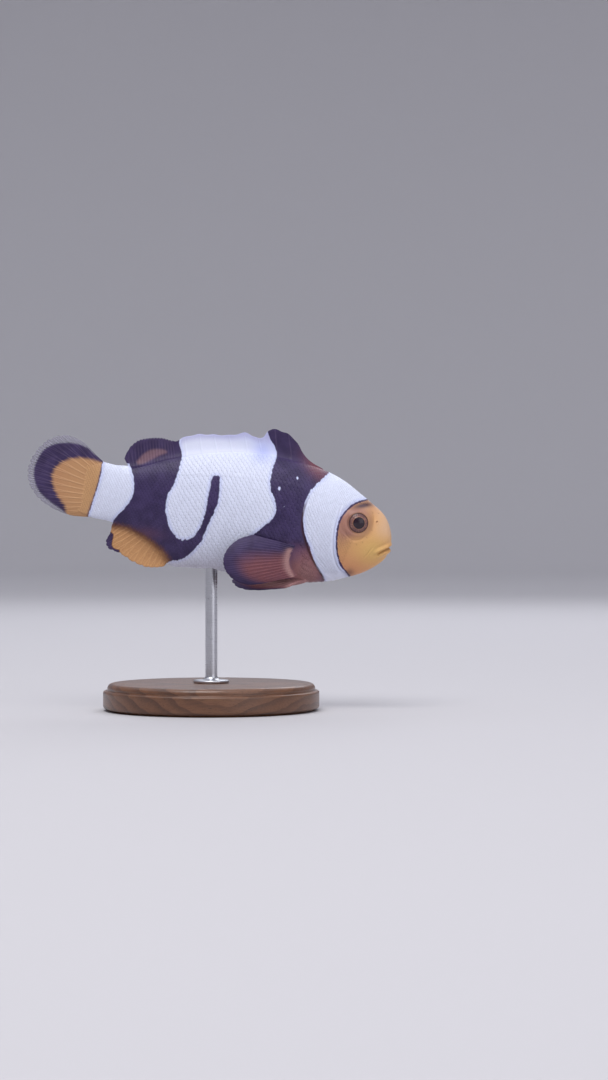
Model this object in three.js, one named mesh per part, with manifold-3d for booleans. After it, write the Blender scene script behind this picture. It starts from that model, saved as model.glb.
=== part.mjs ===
// Clownfish (Amphiprion ocellaris, black-and-white bred form), life size, held on a display stand.
// Millimetres, +Z up, nose towards +X, the fish's left side towards +Y.
// Origin: centre of the underside of the stand's base.
//
// The fish is drawn straight in its own body frame (s forward, t up, y to its left), parted with
// thin cuts, given a slight sweep of the tail, then pitched nose-down and set on the rod.

import * as THREE from "three";
import { mergeVertices } from "three/addons/utils/BufferGeometryUtils.js";
import Module from "manifold-3d";

const wasm = await Module();
wasm.setup();

// ---------------------------------------------------------------- driving dimensions
const GAP = 0.3;                    // clearance between neighbouring pieces
const PITCH = THREE.MathUtils.degToRad(9.7);   // nose-down pitch of the swimming fish
const BODY_X = 5.6;                 // where the body frame's origin stands over the base
const BODY_Z = 32.5;

const SNOUT = 24.95;                // s of the snout tip
const TAIL_ROOT = -25.3;            // s where the flesh ends in the caudal fin
const TAIL_SWEEP = 1.3;             // sideways sweep of the tail fin's edge
const SWEEP_FROM = -6;              // s where the sweep starts
const SWEEP_TO = -37;

const EYE = { s: 18.62, t: 1.83, across: 2.3, deep: 1.6, proud: 0.62 };
const MOUTH = { tipS: 25.6, tipT: -0.85, cornerS: 22.35, cornerT: -3.05 };
const GILL_COVER_DEPTH = 2.3;       // |y| of the inner face of each gill cover

const BASE_RADIUS = 18, BASE_HEIGHT = 4.5, BASE_CHAMFER = 0.8;
const ROD_RADIUS = 1.0, ROD_FOOT_RADIUS = 3.0, ROD_FOOT_HEIGHT = 0.9;
const ROD_S = -4, ROD_IN_BODY = 4.0;

// Lines of the body from snout to tail root: [s, back, belly, half width]
const LINES = [
  [SNOUT, -0.9, -0.9, 0.0],         // snout tip
  [24.5, 1.5, -2.95, 1.75],         // lips
  [23.0, 3.95, -4.75, 2.85],        // snout
  [20.6, 5.6, -6.5, 3.7],           // in front of the eye
  [18.6, 6.75, -7.45, 4.2],         // eye
  [15.4, 8.5, -8.7, 4.75],          // cheek
  [11.0, 9.9, -9.6, 5.1],           // nape
  [6.0, 10.6, -10.05, 5.0],         // shoulder
  [0.0, 10.65, -10.1, 4.6],         // middle of the back
  [-4.0, 10.19, -9.95, 4.15],       // belly
  [-8.0, 9.35, -10.3, 3.6],         // in front of the vent
  [-11.0, 8.45, -10.4, 3.13],       // vent
  [-14.0, 7.4, -8.2, 2.65],         // over the anal fin
  [-20.0, 5.05, -5.5, 1.75],        // end of the dorsal and anal fins
  [-22.5, 4.7, -4.9, 1.35],         // caudal peduncle
  [TAIL_ROOT, 4.8, -4.75, 0.8],     // tail root
];
const STATION_COUNT = 36, RING = 28;

// ---------------------------------------------------------------- curves
function hermite(xs, ys, x) {       // smooth curve through (xs, ys), xs rising
  const n = xs.length;
  if (x <= xs[0]) return ys[0];
  if (x >= xs[n - 1]) return ys[n - 1];
  let i = 0;
  while (x > xs[i + 1]) i++;
  const d = (k) => (ys[k + 1] - ys[k]) / (xs[k + 1] - xs[k]);
  const m = (k) => {
    if (k === 0) return d(0);
    if (k === n - 1) return d(n - 2);
    const a = xs[k] - xs[k - 1], b = xs[k + 1] - xs[k];
    return (d(k - 1) * b + d(k) * a) / (a + b);
  };
  const h = xs[i + 1] - xs[i], u = (x - xs[i]) / h;
  return ys[i] * (1 + 2 * u) * (1 - u) ** 2 + m(i) * h * u * (1 - u) ** 2
       + ys[i + 1] * u * u * (3 - 2 * u) + m(i + 1) * h * u * u * (u - 1);
}
const behind = (s) => Math.sqrt(Math.max(0, SNOUT - s));      // blunt, round snout
const KNOTS = LINES.map((row) => behind(row[0]));
const line = (column) => {
  const values = LINES.map((row) => row[column]);
  return (s) => hermite(KNOTS, values, behind(s));
};
const backAt = line(1), bellyAt = line(2), halfAt = line(3);

function polyline(points, u) {      // Catmull-Rom curve through control points, u 0..1
  const curve = new THREE.CatmullRomCurve3(
    points.map((p) => new THREE.Vector3(p[0], p[2] ?? 0, p[1])), false, "centripetal");
  return curve.getPoint(u);         // x = s, y = sideways, z = t
}

// Section of the body: a soft-shouldered ellipse, a little narrower along the back.
function sectionPoint(s, phi, grow = 0) {
  const back = backAt(s) + grow, belly = bellyAt(s) - grow, half = halfAt(s) + grow;
  const t = (back + belly) / 2 + Math.cos(phi) * (back - belly) / 2;
  const power = 1.0 + 0.12 * Math.cos(phi);
  const y = half * Math.sign(Math.sin(phi)) * Math.pow(Math.abs(Math.sin(phi)), power);
  return [s, y, t];
}
function flankY(s, t) {             // half width of the body at a side-view point
  const back = backAt(s), belly = bellyAt(s);
  const c = THREE.MathUtils.clamp((2 * t - back - belly) / (back - belly), -1, 1);
  return Math.abs(sectionPoint(s, Math.acos(c))[1]);
}

// ---------------------------------------------------------------- solids
function solid(positions, indices) {
  const make = (faces) => new wasm.Manifold(new wasm.Mesh({
    numProp: 3,
    vertProperties: Float32Array.from(positions.flat()),
    triVerts: Uint32Array.from(faces.flat()),
  }));
  const made = make(indices);
  return made.volume() > 0 ? made : make(indices.map(([a, b, c]) => [a, c, b]));   // faces out
}
function fromGeometry(geometry) {
  let g = geometry.clone();
  g.deleteAttribute("normal");
  g.deleteAttribute("uv");
  g = mergeVertices(g, 1e-5);
  return new wasm.Manifold(new wasm.Mesh({
    numProp: 3,
    vertProperties: Float32Array.from(g.attributes.position.array),
    triVerts: Uint32Array.from(g.index.array),
  }));
}

function bodySolid(grow) {
  const points = [], faces = [];
  const length = SNOUT - TAIL_ROOT;
  points.push([SNOUT + grow, 0, LINES[0][1]]);
  for (let i = 1; i <= STATION_COUNT; i++) {
    const s = SNOUT - length * Math.pow(i / STATION_COUNT, 1.45);
    for (let j = 0; j < RING; j++) {
      const p = sectionPoint(s, (2 * Math.PI * j) / RING, grow);
      if (i === STATION_COUNT) p[0] -= grow;
      points.push(p);
    }
  }
  const at = (i, j) => 1 + (i - 1) * RING + ((j + RING) % RING);
  for (let j = 0; j < RING; j++) faces.push([0, at(1, j), at(1, j + 1)]);
  for (let i = 1; i < STATION_COUNT; i++) {
    for (let j = 0; j < RING; j++) {
      const a = at(i, j), b = at(i, j + 1), c = at(i + 1, j + 1), d = at(i + 1, j);
      faces.push([a, d, c], [a, c, b]);
    }
  }
  const last = points.length;
  points.push([TAIL_ROOT - grow, 0, (backAt(TAIL_ROOT) + bellyAt(TAIL_ROOT)) / 2]);
  for (let j = 0; j < RING; j++) faces.push([last, at(STATION_COUNT, j + 1), at(STATION_COUNT, j)]);
  return solid(points, faces);
}

// A block of the given side-view outline, between two sideways distances.
function block(outline, yLow, yHigh) {
  const shape = new THREE.Shape(outline.map(([s, t]) => new THREE.Vector2(s, t)));
  const g = new THREE.ExtrudeGeometry(shape, { depth: yHigh - yLow, bevelEnabled: false });
  g.rotateX(Math.PI / 2);           // depth now runs towards -y
  g.translate(0, yHigh, 0);
  return fromGeometry(g);
}
const samples = (points, count) =>
  Array.from({ length: count + 1 }, (_, i) => {
    const p = polyline(points, i / count);
    return [p.x, p.z];
  });
const shifted = (points, ds, dt = 0) => points.map(([s, t]) => [s + ds, t + dt]);
function inset(outline, g) {        // the outline with each edge moved inwards by g
  const area = outline.reduce((sum, [a, b], i) => {
    const [c, d] = outline[(i + 1) % outline.length];
    return sum + (a * d - b * c) / 2;
  }, 0);
  const n = outline.length, turn = Math.sign(area);
  const normalOf = (i) => {
    const [a, b] = outline[i], [c, d] = outline[(i + 1) % n], l = Math.hypot(c - a, d - b);
    return [(-(d - b) / l) * turn, ((c - a) / l) * turn];
  };
  return outline.map(([s, t], i) => {
    const p = normalOf((i + n - 1) % n), q = normalOf(i);
    const m = [p[0] + q[0], p[1] + q[1]], k = (2 * g) / Math.max(0.5, m[0] ** 2 + m[1] ** 2);
    return [s + m[0] * k, t + m[1] * k];
  });
}

// A fin: a thin closed sheet between a root curve and an edge curve, both [s, t, y] controls.
function fin(root, edge, { along, out, rootThick, edgeThick, bow = () => 0, side = null }) {
  const grid = [];
  for (let i = 0; i <= along; i++) {
    const a = polyline(root, i / along), b = polyline(edge, i / along);
    const row = [];
    for (let j = 0; j <= out; j++) {
      const v = j / out, p = a.clone().lerp(b, v);
      p.y += bow(i / along, v);
      row.push(p);
    }
    grid.push(row);
  }
  const normal = (i, j) => {
    const i0 = Math.max(0, i - 1), i1 = Math.min(along, i + 1);
    const j0 = Math.max(0, j - 1), j1 = Math.min(out, j + 1);
    const du = grid[i1][j].clone().sub(grid[i0][j]);
    const dv = grid[i][j1].clone().sub(grid[i][j0]);
    const n = du.cross(dv).normalize();
    if (side !== null) return n;    // free sheet: its own normal
    return new THREE.Vector3(0, Math.sign(n.y) || 1, 0);   // median fin: straight sideways
  };
  const points = [], faces = [];
  const id = (face, i, j) => face * (along + 1) * (out + 1) + i * (out + 1) + j;
  for (const face of [0, 1]) {
    for (let i = 0; i <= along; i++) {
      for (let j = 0; j <= out; j++) {
        const v = j / out, half = (rootThick * (1 - v) + edgeThick * v) / 2;
        const n = normal(i, j);
        const p = grid[i][j].clone().addScaledVector(n, face === 0 ? half : -half);
        points.push([p.x, p.y, p.z]);
      }
    }
  }
  for (let i = 0; i < along; i++) {
    for (let j = 0; j < out; j++) {
      const q = [[i, j], [i + 1, j], [i + 1, j + 1], [i, j + 1]];
      const [a, b, c, d] = q.map(([x, y]) => id(0, x, y));
      faces.push([a, b, c], [a, c, d]);
      const [e, f, g, h] = q.map(([x, y]) => id(1, x, y));
      faces.push([e, g, f], [e, h, g]);
    }
  }
  const rim = [];
  for (let i = 0; i < along; i++) rim.push([i, 0]);
  for (let j = 0; j < out; j++) rim.push([along, j]);
  for (let i = along; i > 0; i--) rim.push([i, out]);
  for (let j = out; j > 0; j--) rim.push([0, j]);
  rim.forEach(([i, j], k) => {
    const [i2, j2] = rim[(k + 1) % rim.length];
    faces.push([id(0, i, j), id(1, i, j), id(1, i2, j2)]);
    faces.push([id(0, i, j), id(1, i2, j2), id(0, i2, j2)]);
  });
  return solid(points, faces);
}

// ---------------------------------------------------------------- the body and its parts
const body = bodySolid(0);
const grown = bodySolid(GAP);
const FAR = 60, WIDE = 12;

// Rear edge of the head: nape, gill opening, isthmus.
const GILL_LINE = [[14.4, 13], [12.9, 9.6], [10.9, 6.6], [9.75, 3.2], [9.75, 0],
                   [10.9, -2.9], [12.6, -5.6], [14.8, -8.3], [16.2, -12]];
const gillCurve = samples(GILL_LINE, 24);
const headRegion = block(
  [...shifted(gillCurve, GAP / 2), [FAR, -12], [FAR, 13]], -WIDE, WIDE);
const rearRegion = block(
  [...shifted(gillCurve, -GAP / 2), [-FAR, -12], [-FAR, 13]], -WIDE, WIDE);

// Caudal peduncle: everything behind a slanting cut at the fins' rear ends.
const PEDUNCLE_CUT = [[-20.55, 13], [-20.75, 5], [-21.75, -5], [-22.3, -13]];
const peduncleRegion = block([...shifted(PEDUNCLE_CUT, -GAP / 2), [-FAR, -13], [-FAR, 13]], -WIDE, WIDE);
const trunkRegion = block([...shifted(PEDUNCLE_CUT, GAP / 2), [FAR, -13], [FAR, 13]], -WIDE, WIDE);

// Lower jaw: below the oblique mouth slit, forward of the jaw joint.
const mouthLine = [[MOUTH.tipS, MOUTH.tipT], [MOUTH.cornerS, MOUTH.cornerT]];
const JAW = { backS: 21.2, backT: -4.6, underS: 20.6, underT: -8.5 };
const jawOutline = [
  [mouthLine[0][0] + 1, mouthLine[0][1] + 0.66], mouthLine[1],
  [JAW.backS, JAW.backT], [JAW.underS, JAW.underT], [mouthLine[0][0] + 1, JAW.underT]];
const jawRegion = block(inset(jawOutline, GAP / 2), -WIDE, WIDE);
const jawSpace = block(inset(jawOutline, -GAP / 2), -WIDE, WIDE);

// Gill covers: plates on each cheek, from the preopercle's edge back to the gill opening.
const COVER_FRONT = [[14.6, 5.6], [15.6, 3.2], [15.55, 0], [15.7, -3.0], [16.6, -6.0]];
const COVER_REAR = [[15.0, -7.8], [13.1, -5.6], [11.4, -2.9], [10.25, 0], [10.25, 3.1], [11.2, 5.6]];
const coverOutline = [[14.0, 6.3], ...samples(COVER_FRONT, 9), ...samples(COVER_REAR, 11), [12.3, 6.3]];
const coverRegion = (g, sign) => {
  const outline = inset(coverOutline, g), inner = GILL_COVER_DEPTH + g;
  return sign > 0 ? block(outline, inner, WIDE) : block(outline, -WIDE, -inner);
};

// Eyes: flattened balls set in round sockets.
function ball(grow, sign) {
  const g = new THREE.SphereGeometry(1, 18, 11);
  g.rotateX(Math.PI / 2);
  g.scale(EYE.across + grow, EYE.deep + grow, EYE.across + grow);
  const y = flankY(EYE.s, EYE.t) + EYE.proud - EYE.deep;
  g.rotateZ(sign * THREE.MathUtils.degToRad(-9));    // the eye looks slightly forward
  g.translate(EYE.s, sign * y, EYE.t);
  return fromGeometry(g);
}

let head = body.intersect(headRegion);
const jaw = head.intersect(jawRegion);
head = head.subtract(jawSpace);
const covers = {};
for (const [name, sign] of [["left", 1], ["right", -1]]) {
  covers[name] = head.intersect(coverRegion(0, sign));
  head = head.subtract(coverRegion(-GAP, sign)).subtract(ball(GAP, sign));
}

const rear = body.intersect(rearRegion);
let trunk = rear.intersect(trunkRegion);
const peduncle = rear.intersect(peduncleRegion);

// ---------------------------------------------------------------- the fins
const soft = (waves, size, phase = 0) => (u, v) => size * v * v * Math.sin(2 * Math.PI * waves * u + phase);
const rootOn = (curveAt, inside, from, to, count) => Array.from({ length: count }, (_, i) => {
  const s = from + (to - from) * (i / (count - 1));
  return [s, curveAt(s) + inside];
});

const DORSAL_FRONT = 11.9, DORSAL_NOTCH = -13.0, DORSAL_END = -20.2;
const SPINY_EDGE = [[11.6, 9.75], [9.6, 10.5], [8.0, 11.6], [6.3, 13.65], [4.5, 14.7], [2.7, 15.0], [1.4, 14.6],
                    [0.55, 13.1], [-0.5, 13.15], [-2.1, 13.6], [-3.4, 13.2], [-4.8, 12.75], [-7.4, 12.4],
                    [-10.4, 11.9], [-12.6, 10.75], [-13.4, 10.15]];
const SOFT_EDGE = [[-13.9, 10.05], [-15.6, 10.35], [-17.8, 10.05], [-19.7, 9.3], [-20.95, 7.8], [-21.5, 6.2], [-21.3, 5.05]];
const spinyDorsal = fin(rootOn(backAt, -0.8, DORSAL_FRONT, DORSAL_NOTCH + 0.15, 9), SPINY_EDGE,
  { along: 24, out: 3, rootThick: 1.1, edgeThick: 0.5, bow: soft(1.5, 0.18) });
const softDorsal = fin(rootOn(backAt, -0.8, DORSAL_NOTCH - 0.2, DORSAL_END, 5), SOFT_EDGE,
  { along: 12, out: 3, rootThick: 1.1, edgeThick: 0.5, bow: soft(1, 0.3, 1) });

const ANAL_FRONT = -11.2, ANAL_END = -21.2;
const ANAL_EDGE = [[-11.9, -10.75], [-13.2, -11.15], [-14.9, -11.35], [-17.2, -10.85], [-19.6, -9.85],
                   [-21.7, -9.3], [-22.2, -8.2], [-21.7, -6.7], [-21.6, -5.3]];
const analFin = fin(rootOn(bellyAt, 0.8, ANAL_FRONT, ANAL_END, 6), ANAL_EDGE,
  { along: 16, out: 3, rootThick: 1.1, edgeThick: 0.5, bow: soft(1, -0.3, 0.5) });

const CAUDAL_S = TAIL_ROOT - GAP;
const CAUDAL_ROOT = [[CAUDAL_S, 4.75], [CAUDAL_S, 2.4], [CAUDAL_S, 0], [CAUDAL_S, -2.4], [CAUDAL_S, -4.65]];
const CAUDAL_EDGE = [[-26.4, 5.75], [-28.6, 7.4], [-31.6, 8.2], [-34.4, 7.1], [-36.4, 4.6], [-37.15, 1.6],
                     [-36.5, -0.9], [-34.6, -3.0], [-31.8, -4.35], [-28.8, -4.95], [-26.3, -4.8]];
const caudalFin = fin(CAUDAL_ROOT, CAUDAL_EDGE,
  { along: 22, out: 5, rootThick: 1.5, edgeThick: 0.5,
    bow: (u, v) => 0.45 * v * v * Math.sin(2 * Math.PI * 1.1 * u + 0.6) + 1.1 * Math.max(0, u - 0.55) ** 1.5 * v });

// Paired fins: the pectorals fan from the flank just behind the gill opening, the pelvics hang below.
const PECTORAL_ROOT = [[10.0, -3.7], [9.3, -5.0], [9.3, -6.7], [10.3, -8.5]];
const PECTORAL_EDGE = [[1.9, -3.0, 2.0], [-0.2, -4.1, 3.0], [-1.6, -5.7, 3.9], [-2.15, -7.6, 4.5],
                       [-1.6, -9.35, 4.6], [0.0, -10.75, 4.1], [2.4, -11.25, 3.1], [4.6, -10.75, 2.0]];
const PELVIC_ROOT = [[12.0, -9.0, 1.7], [10.8, -9.1, 1.3], [9.4, -9.2, 0.9]];
const PELVIC_EDGE = [[8.6, -11.05, 2.7], [6.2, -11.75, 3.2], [3.6, -12.2, 3.5], [1.5, -12.2, 3.5],
                     [0.0, -11.6, 3.1], [-0.3, -10.9, 2.5], [1.0, -10.55, 1.7]];
const paired = {};
for (const [name, sign] of [["left", 1], ["right", -1]]) {
  const root = PECTORAL_ROOT.map(([s, t]) => [s, t, sign * (flankY(s, t) - 0.5)]);
  const edge = PECTORAL_EDGE.map(([s, t, out]) => [s, t, sign * (flankY(8.5, -6) + out - 0.9)]);
  paired[`pectoral_fin_${name}`] = fin(root, edge,
    { along: 13, out: 5, rootThick: 1.2, edgeThick: 0.5, side: sign,
      bow: (u, v) => sign * 0.9 * Math.sin(Math.PI * v) * (0.6 + 0.4 * Math.sin(Math.PI * u)) });
  paired[`pelvic_fin_${name}`] = fin(
    PELVIC_ROOT.map(([s, t, y]) => [s, t, sign * y]), PELVIC_EDGE.map(([s, t, y]) => [s, t, sign * y]),
    { along: 11, out: 4, rootThick: 1.0, edgeThick: 0.5, side: sign,
      bow: (u, v) => sign * 0.3 * Math.sin(Math.PI * v) });
}

// ---------------------------------------------------------------- the stand
const rodTopZ = BODY_Z - ROD_S * Math.sin(PITCH) + bellyAt(ROD_S) * Math.cos(PITCH) + ROD_IN_BODY;
const baseProfile = [[0, 0], [BASE_RADIUS - BASE_CHAMFER, 0], [BASE_RADIUS, BASE_CHAMFER],
                     [BASE_RADIUS, BASE_HEIGHT - 1.6], [BASE_RADIUS - 0.45, BASE_HEIGHT - 0.7],
                     [BASE_RADIUS - 1.3, BASE_HEIGHT - 0.15], [BASE_RADIUS - 2.4, BASE_HEIGHT], [0, BASE_HEIGHT]];
const footZ = BASE_HEIGHT + 0.05;
const rodProfile = [[0, footZ], [ROD_FOOT_RADIUS, footZ], [ROD_FOOT_RADIUS, footZ + ROD_FOOT_HEIGHT - 0.25],
                    [ROD_FOOT_RADIUS - 0.25, footZ + ROD_FOOT_HEIGHT], [ROD_RADIUS + 0.5, footZ + ROD_FOOT_HEIGHT + 0.1],
                    [ROD_RADIUS + 0.12, footZ + ROD_FOOT_HEIGHT + 0.45], [ROD_RADIUS, footZ + ROD_FOOT_HEIGHT + 1.0],
                    [ROD_RADIUS, rodTopZ - 0.6], [ROD_RADIUS - 0.5, rodTopZ], [0, rodTopZ]];
const lathe = (profile, sides) => {
  const g = new THREE.LatheGeometry(profile.map(([r, z]) => new THREE.Vector2(r, z)), sides);
  g.rotateX(Math.PI / 2);
  return g;
};

// ---------------------------------------------------------------- placing
// Body frame to world: slight sweep of the tail, then pitch and lift.
function placeVertex(v) {
  const k = THREE.MathUtils.clamp((SWEEP_FROM - v.x) / (SWEEP_FROM - SWEEP_TO), 0, 1.1);
  const y = v.y + TAIL_SWEEP * k * k;
  return new THREE.Vector3(
    v.x * Math.cos(PITCH) + v.z * Math.sin(PITCH) + BODY_X, y,
    -v.x * Math.sin(PITCH) + v.z * Math.cos(PITCH) + BODY_Z);
}
// The socket for the rod is vertical, so it is cut in the placed body.
function placed(manifold) {
  const m = manifold.getMesh(), out = new Float32Array(m.numVert * 3);
  for (let i = 0; i < m.numVert; i++) {
    const k = i * m.numProp;
    const p = placeVertex(new THREE.Vector3(m.vertProperties[k], m.vertProperties[k + 1], m.vertProperties[k + 2]));
    out.set([p.x, p.y, p.z], i * 3);
  }
  return new wasm.Manifold(new wasm.Mesh({ numProp: 3, vertProperties: out, triVerts: m.triVerts.slice() }));
}

const COLOURS = {
  orange: [0xc8892f, 0.5], white: [0xdcdff0, 0.5], black: [0x1c1826, 0.5], brown: [0x5a3326, 0.5],
  eye: [0x120d10, 0.15], wood: [0x5b3a24, 0.5], steel: [0xb9bcc0, 0.3],
};
const part = new THREE.Group();
function add(name, geometry, [colour, roughness], metalness = 0) {
  const mesh = new THREE.Mesh(geometry, new THREE.MeshStandardMaterial({ color: colour, roughness, metalness }));
  mesh.name = name;
  part.add(mesh);
}
function addSolid(name, manifold, colour) {
  const m = manifold.getMesh(), g = new THREE.BufferGeometry();
  const pos = new Float32Array(m.numVert * 3);
  for (let i = 0; i < m.numVert; i++)
    for (let k = 0; k < 3; k++) pos[i * 3 + k] = m.vertProperties[i * m.numProp + k];
  g.setAttribute("position", new THREE.BufferAttribute(pos, 3));
  g.setIndex(new THREE.BufferAttribute(Uint32Array.from(m.triVerts), 1));
  g.computeVertexNormals();
  add(name, g, colour);
}

const socket = (() => {
  const g = new THREE.LatheGeometry([[0, 0], [ROD_RADIUS + GAP, 0], [ROD_RADIUS + GAP, rodTopZ + GAP], [0, rodTopZ + GAP]]
    .map(([r, z]) => new THREE.Vector2(r, z)), 20);
  g.rotateX(Math.PI / 2);
  return fromGeometry(g);
})();

addSolid("head", placed(head), COLOURS.orange);
addSolid("lower_jaw", placed(jaw), COLOURS.orange);
addSolid("gill_cover_left", placed(covers.left), COLOURS.white);
addSolid("gill_cover_right", placed(covers.right), COLOURS.white);
addSolid("trunk", placed(trunk).subtract(socket), COLOURS.white);
addSolid("tail_peduncle", placed(peduncle), COLOURS.white);
addSolid("dorsal_fin_spiny", placed(spinyDorsal.subtract(grown)), COLOURS.black);
addSolid("dorsal_fin_soft", placed(softDorsal.subtract(grown)), COLOURS.black);
addSolid("anal_fin", placed(analFin.subtract(grown)), COLOURS.orange);
addSolid("caudal_fin", placed(caudalFin), COLOURS.orange);
for (const [name, sheet] of Object.entries(paired)) addSolid(name, placed(sheet.subtract(grown)), COLOURS.brown);
addSolid("eye_left", placed(ball(0, 1)), COLOURS.eye);
addSolid("eye_right", placed(ball(0, -1)), COLOURS.eye);
add("stand_base", lathe(baseProfile, 48), COLOURS.wood);
add("stand_rod", lathe(rodProfile, 16), COLOURS.steel, 1);

export default part;
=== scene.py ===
"""Looks of the life-size clownfish on its display stand.

The fish is built in a straight body frame, in millimetres: s forwards, y to its left, t up.
place() carries it into the shared frame, in metres: slight tail sweep, nose-down pitch, lift.
"""
import math

import bpy
import numpy as np
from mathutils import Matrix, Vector
from mathutils.kdtree import KDTree


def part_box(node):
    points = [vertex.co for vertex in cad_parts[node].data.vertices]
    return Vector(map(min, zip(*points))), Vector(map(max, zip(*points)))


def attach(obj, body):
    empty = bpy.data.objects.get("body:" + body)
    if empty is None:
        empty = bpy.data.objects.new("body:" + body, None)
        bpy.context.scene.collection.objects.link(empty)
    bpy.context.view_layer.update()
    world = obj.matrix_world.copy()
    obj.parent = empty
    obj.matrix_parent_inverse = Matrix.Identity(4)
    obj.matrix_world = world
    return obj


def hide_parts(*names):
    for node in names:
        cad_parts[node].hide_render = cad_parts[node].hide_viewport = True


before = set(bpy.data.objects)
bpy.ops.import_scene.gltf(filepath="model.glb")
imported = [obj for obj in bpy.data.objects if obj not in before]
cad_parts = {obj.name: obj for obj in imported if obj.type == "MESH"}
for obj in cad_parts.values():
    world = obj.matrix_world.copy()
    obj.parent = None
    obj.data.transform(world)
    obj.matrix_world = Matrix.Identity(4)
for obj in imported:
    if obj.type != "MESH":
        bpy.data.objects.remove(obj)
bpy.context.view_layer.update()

# ------------------------------------------------------------------ sizes (as in the CAD)
MM = 0.001
PITCH = math.radians(9.7)
BODY_X, BODY_Z = 5.6, 32.5
SNOUT, TAIL_ROOT = 24.95, -25.3
TAIL_SWEEP, SWEEP_FROM, SWEEP_TO = 1.3, -6.0, -37.0
EYE_S, EYE_T, EYE_ACROSS, EYE_DEEP, EYE_PROUD = 18.62, 1.83, 2.3, 1.6, 0.62
COAT = 0.12                      # depth of the scale coat: how far the skin lies inside the solids

LINES = np.array([               # s, back, belly, half width
    [SNOUT, -0.9, -0.9, 0.0],
    [24.5, 1.5, -2.95, 1.75],
    [23.0, 3.95, -4.75, 2.85],
    [20.6, 5.6, -6.5, 3.7],
    [18.6, 6.75, -7.45, 4.2],
    [15.4, 8.5, -8.7, 4.75],
    [11.0, 9.9, -9.6, 5.1],
    [6.0, 10.6, -10.05, 5.0],
    [0.0, 10.65, -10.1, 4.6],
    [-4.0, 10.19, -9.95, 4.15],
    [-8.0, 9.35, -10.3, 3.6],
    [-11.0, 8.45, -10.4, 3.13],
    [-14.0, 7.4, -8.2, 2.65],
    [-20.0, 5.05, -5.5, 1.75],
    [-22.5, 4.7, -4.9, 1.35],
    [TAIL_ROOT, 4.8, -4.75, 0.8],
])
END = np.array([[-26.6, 4.5, -4.4, 0.33], [-28.2, 3.9, -3.8, 0.03]])   # flesh thinning out in the tail fin


# ------------------------------------------------------------------ curves
def hermite(xs, ys, x):
    xs, ys, x = np.asarray(xs, float), np.asarray(ys, float), np.asarray(x, float)
    d = np.diff(ys) / np.diff(xs)
    m = np.empty_like(ys)
    m[0], m[-1] = d[0], d[-1]
    a, b = np.diff(xs)[:-1], np.diff(xs)[1:]
    m[1:-1] = (d[:-1] * b + d[1:] * a) / (a + b)
    xc = np.clip(x, xs[0], xs[-1])
    i = np.clip(np.searchsorted(xs, xc, side="left") - 1, 0, len(xs) - 2)
    h = xs[i + 1] - xs[i]
    u = (xc - xs[i]) / h
    return (ys[i] * (1 + 2 * u) * (1 - u) ** 2 + m[i] * h * u * (1 - u) ** 2
            + ys[i + 1] * u * u * (3 - 2 * u) + m[i + 1] * h * u * u * (u - 1))


ALL_LINES = np.vstack([LINES, END])
KNOTS = np.sqrt(np.maximum(0, SNOUT - ALL_LINES[:, 0]))


def body_line(column, s):
    return hermite(KNOTS, ALL_LINES[:, column], np.sqrt(np.maximum(0, SNOUT - np.asarray(s, float))))


def catmull(points, u):
    """Centripetal Catmull-Rom curve, as three.js draws it. points: [s, t, y?]; returns (..., 3) as s, y, t."""
    P = np.array([[p[0], p[2] if len(p) > 2 else 0.0, p[1]] for p in points], float)
    n = len(P)
    u = np.asarray(u, float)
    p = np.clip(u, 0, 1) * (n - 1)
    i = np.minimum(np.floor(p).astype(int), n - 2)
    w = p - i
    ext = np.vstack([2 * P[0] - P[1], P, 2 * P[-1] - P[-2]])
    p0, p1, p2, p3 = ext[i], ext[i + 1], ext[i + 2], ext[i + 3]
    dist = lambda a, b: np.sum((a - b) ** 2, -1) ** 0.25
    d0, d1, d2 = dist(p0, p1), dist(p1, p2), dist(p2, p3)
    d1 = np.where(d1 < 1e-4, 1.0, d1)
    d0 = np.where(d0 < 1e-4, d1, d0)
    d2 = np.where(d2 < 1e-4, d1, d2)
    d0, d1, d2, w = d0[..., None], d1[..., None], d2[..., None], w[..., None]
    t1 = ((p1 - p0) / d0 - (p2 - p0) / (d0 + d1) + (p2 - p1) / d1) * d1
    t2 = ((p2 - p1) / d1 - (p3 - p1) / (d1 + d2) + (p3 - p2) / d2) * d1
    return p1 + t1 * w + (-3 * p1 + 3 * p2 - 2 * t1 - t2) * w ** 2 + (2 * p1 - 2 * p2 + t1 + t2) * w ** 3


def smooth(lo, hi, x):
    k = np.clip((x - lo) / (hi - lo), 0, 1)
    return k * k * (3 - 2 * k)


def curve_points(points, count):
    c = catmull(points, np.linspace(0, 1, count))
    return np.stack([c[:, 0], c[:, 2]], -1)


def line_distance(line, s, t):
    """Signed distance to an open side-view polyline (positive on the side of larger s), and the place along it 0..1."""
    best = np.full(s.shape, 1e9)
    sign = np.ones(s.shape)
    along = np.zeros(s.shape)
    n = len(line) - 1
    for k in range(n):
        a, b = line[k], line[k + 1]
        d = b - a
        w = np.clip(((s - a[0]) * d[0] + (t - a[1]) * d[1]) / (d @ d), 0, 1)
        q = (s - a[0] - w * d[0]) ** 2 + (t - a[1] - w * d[1]) ** 2
        near = q < best
        cross = d[0] * (t - a[1]) - d[1] * (s - a[0])
        best = np.where(near, q, best)
        sign = np.where(near, np.sign(cross), sign)
        along = np.where(near, (k + w) / n, along)
    return np.sqrt(best) * sign, along


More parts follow.
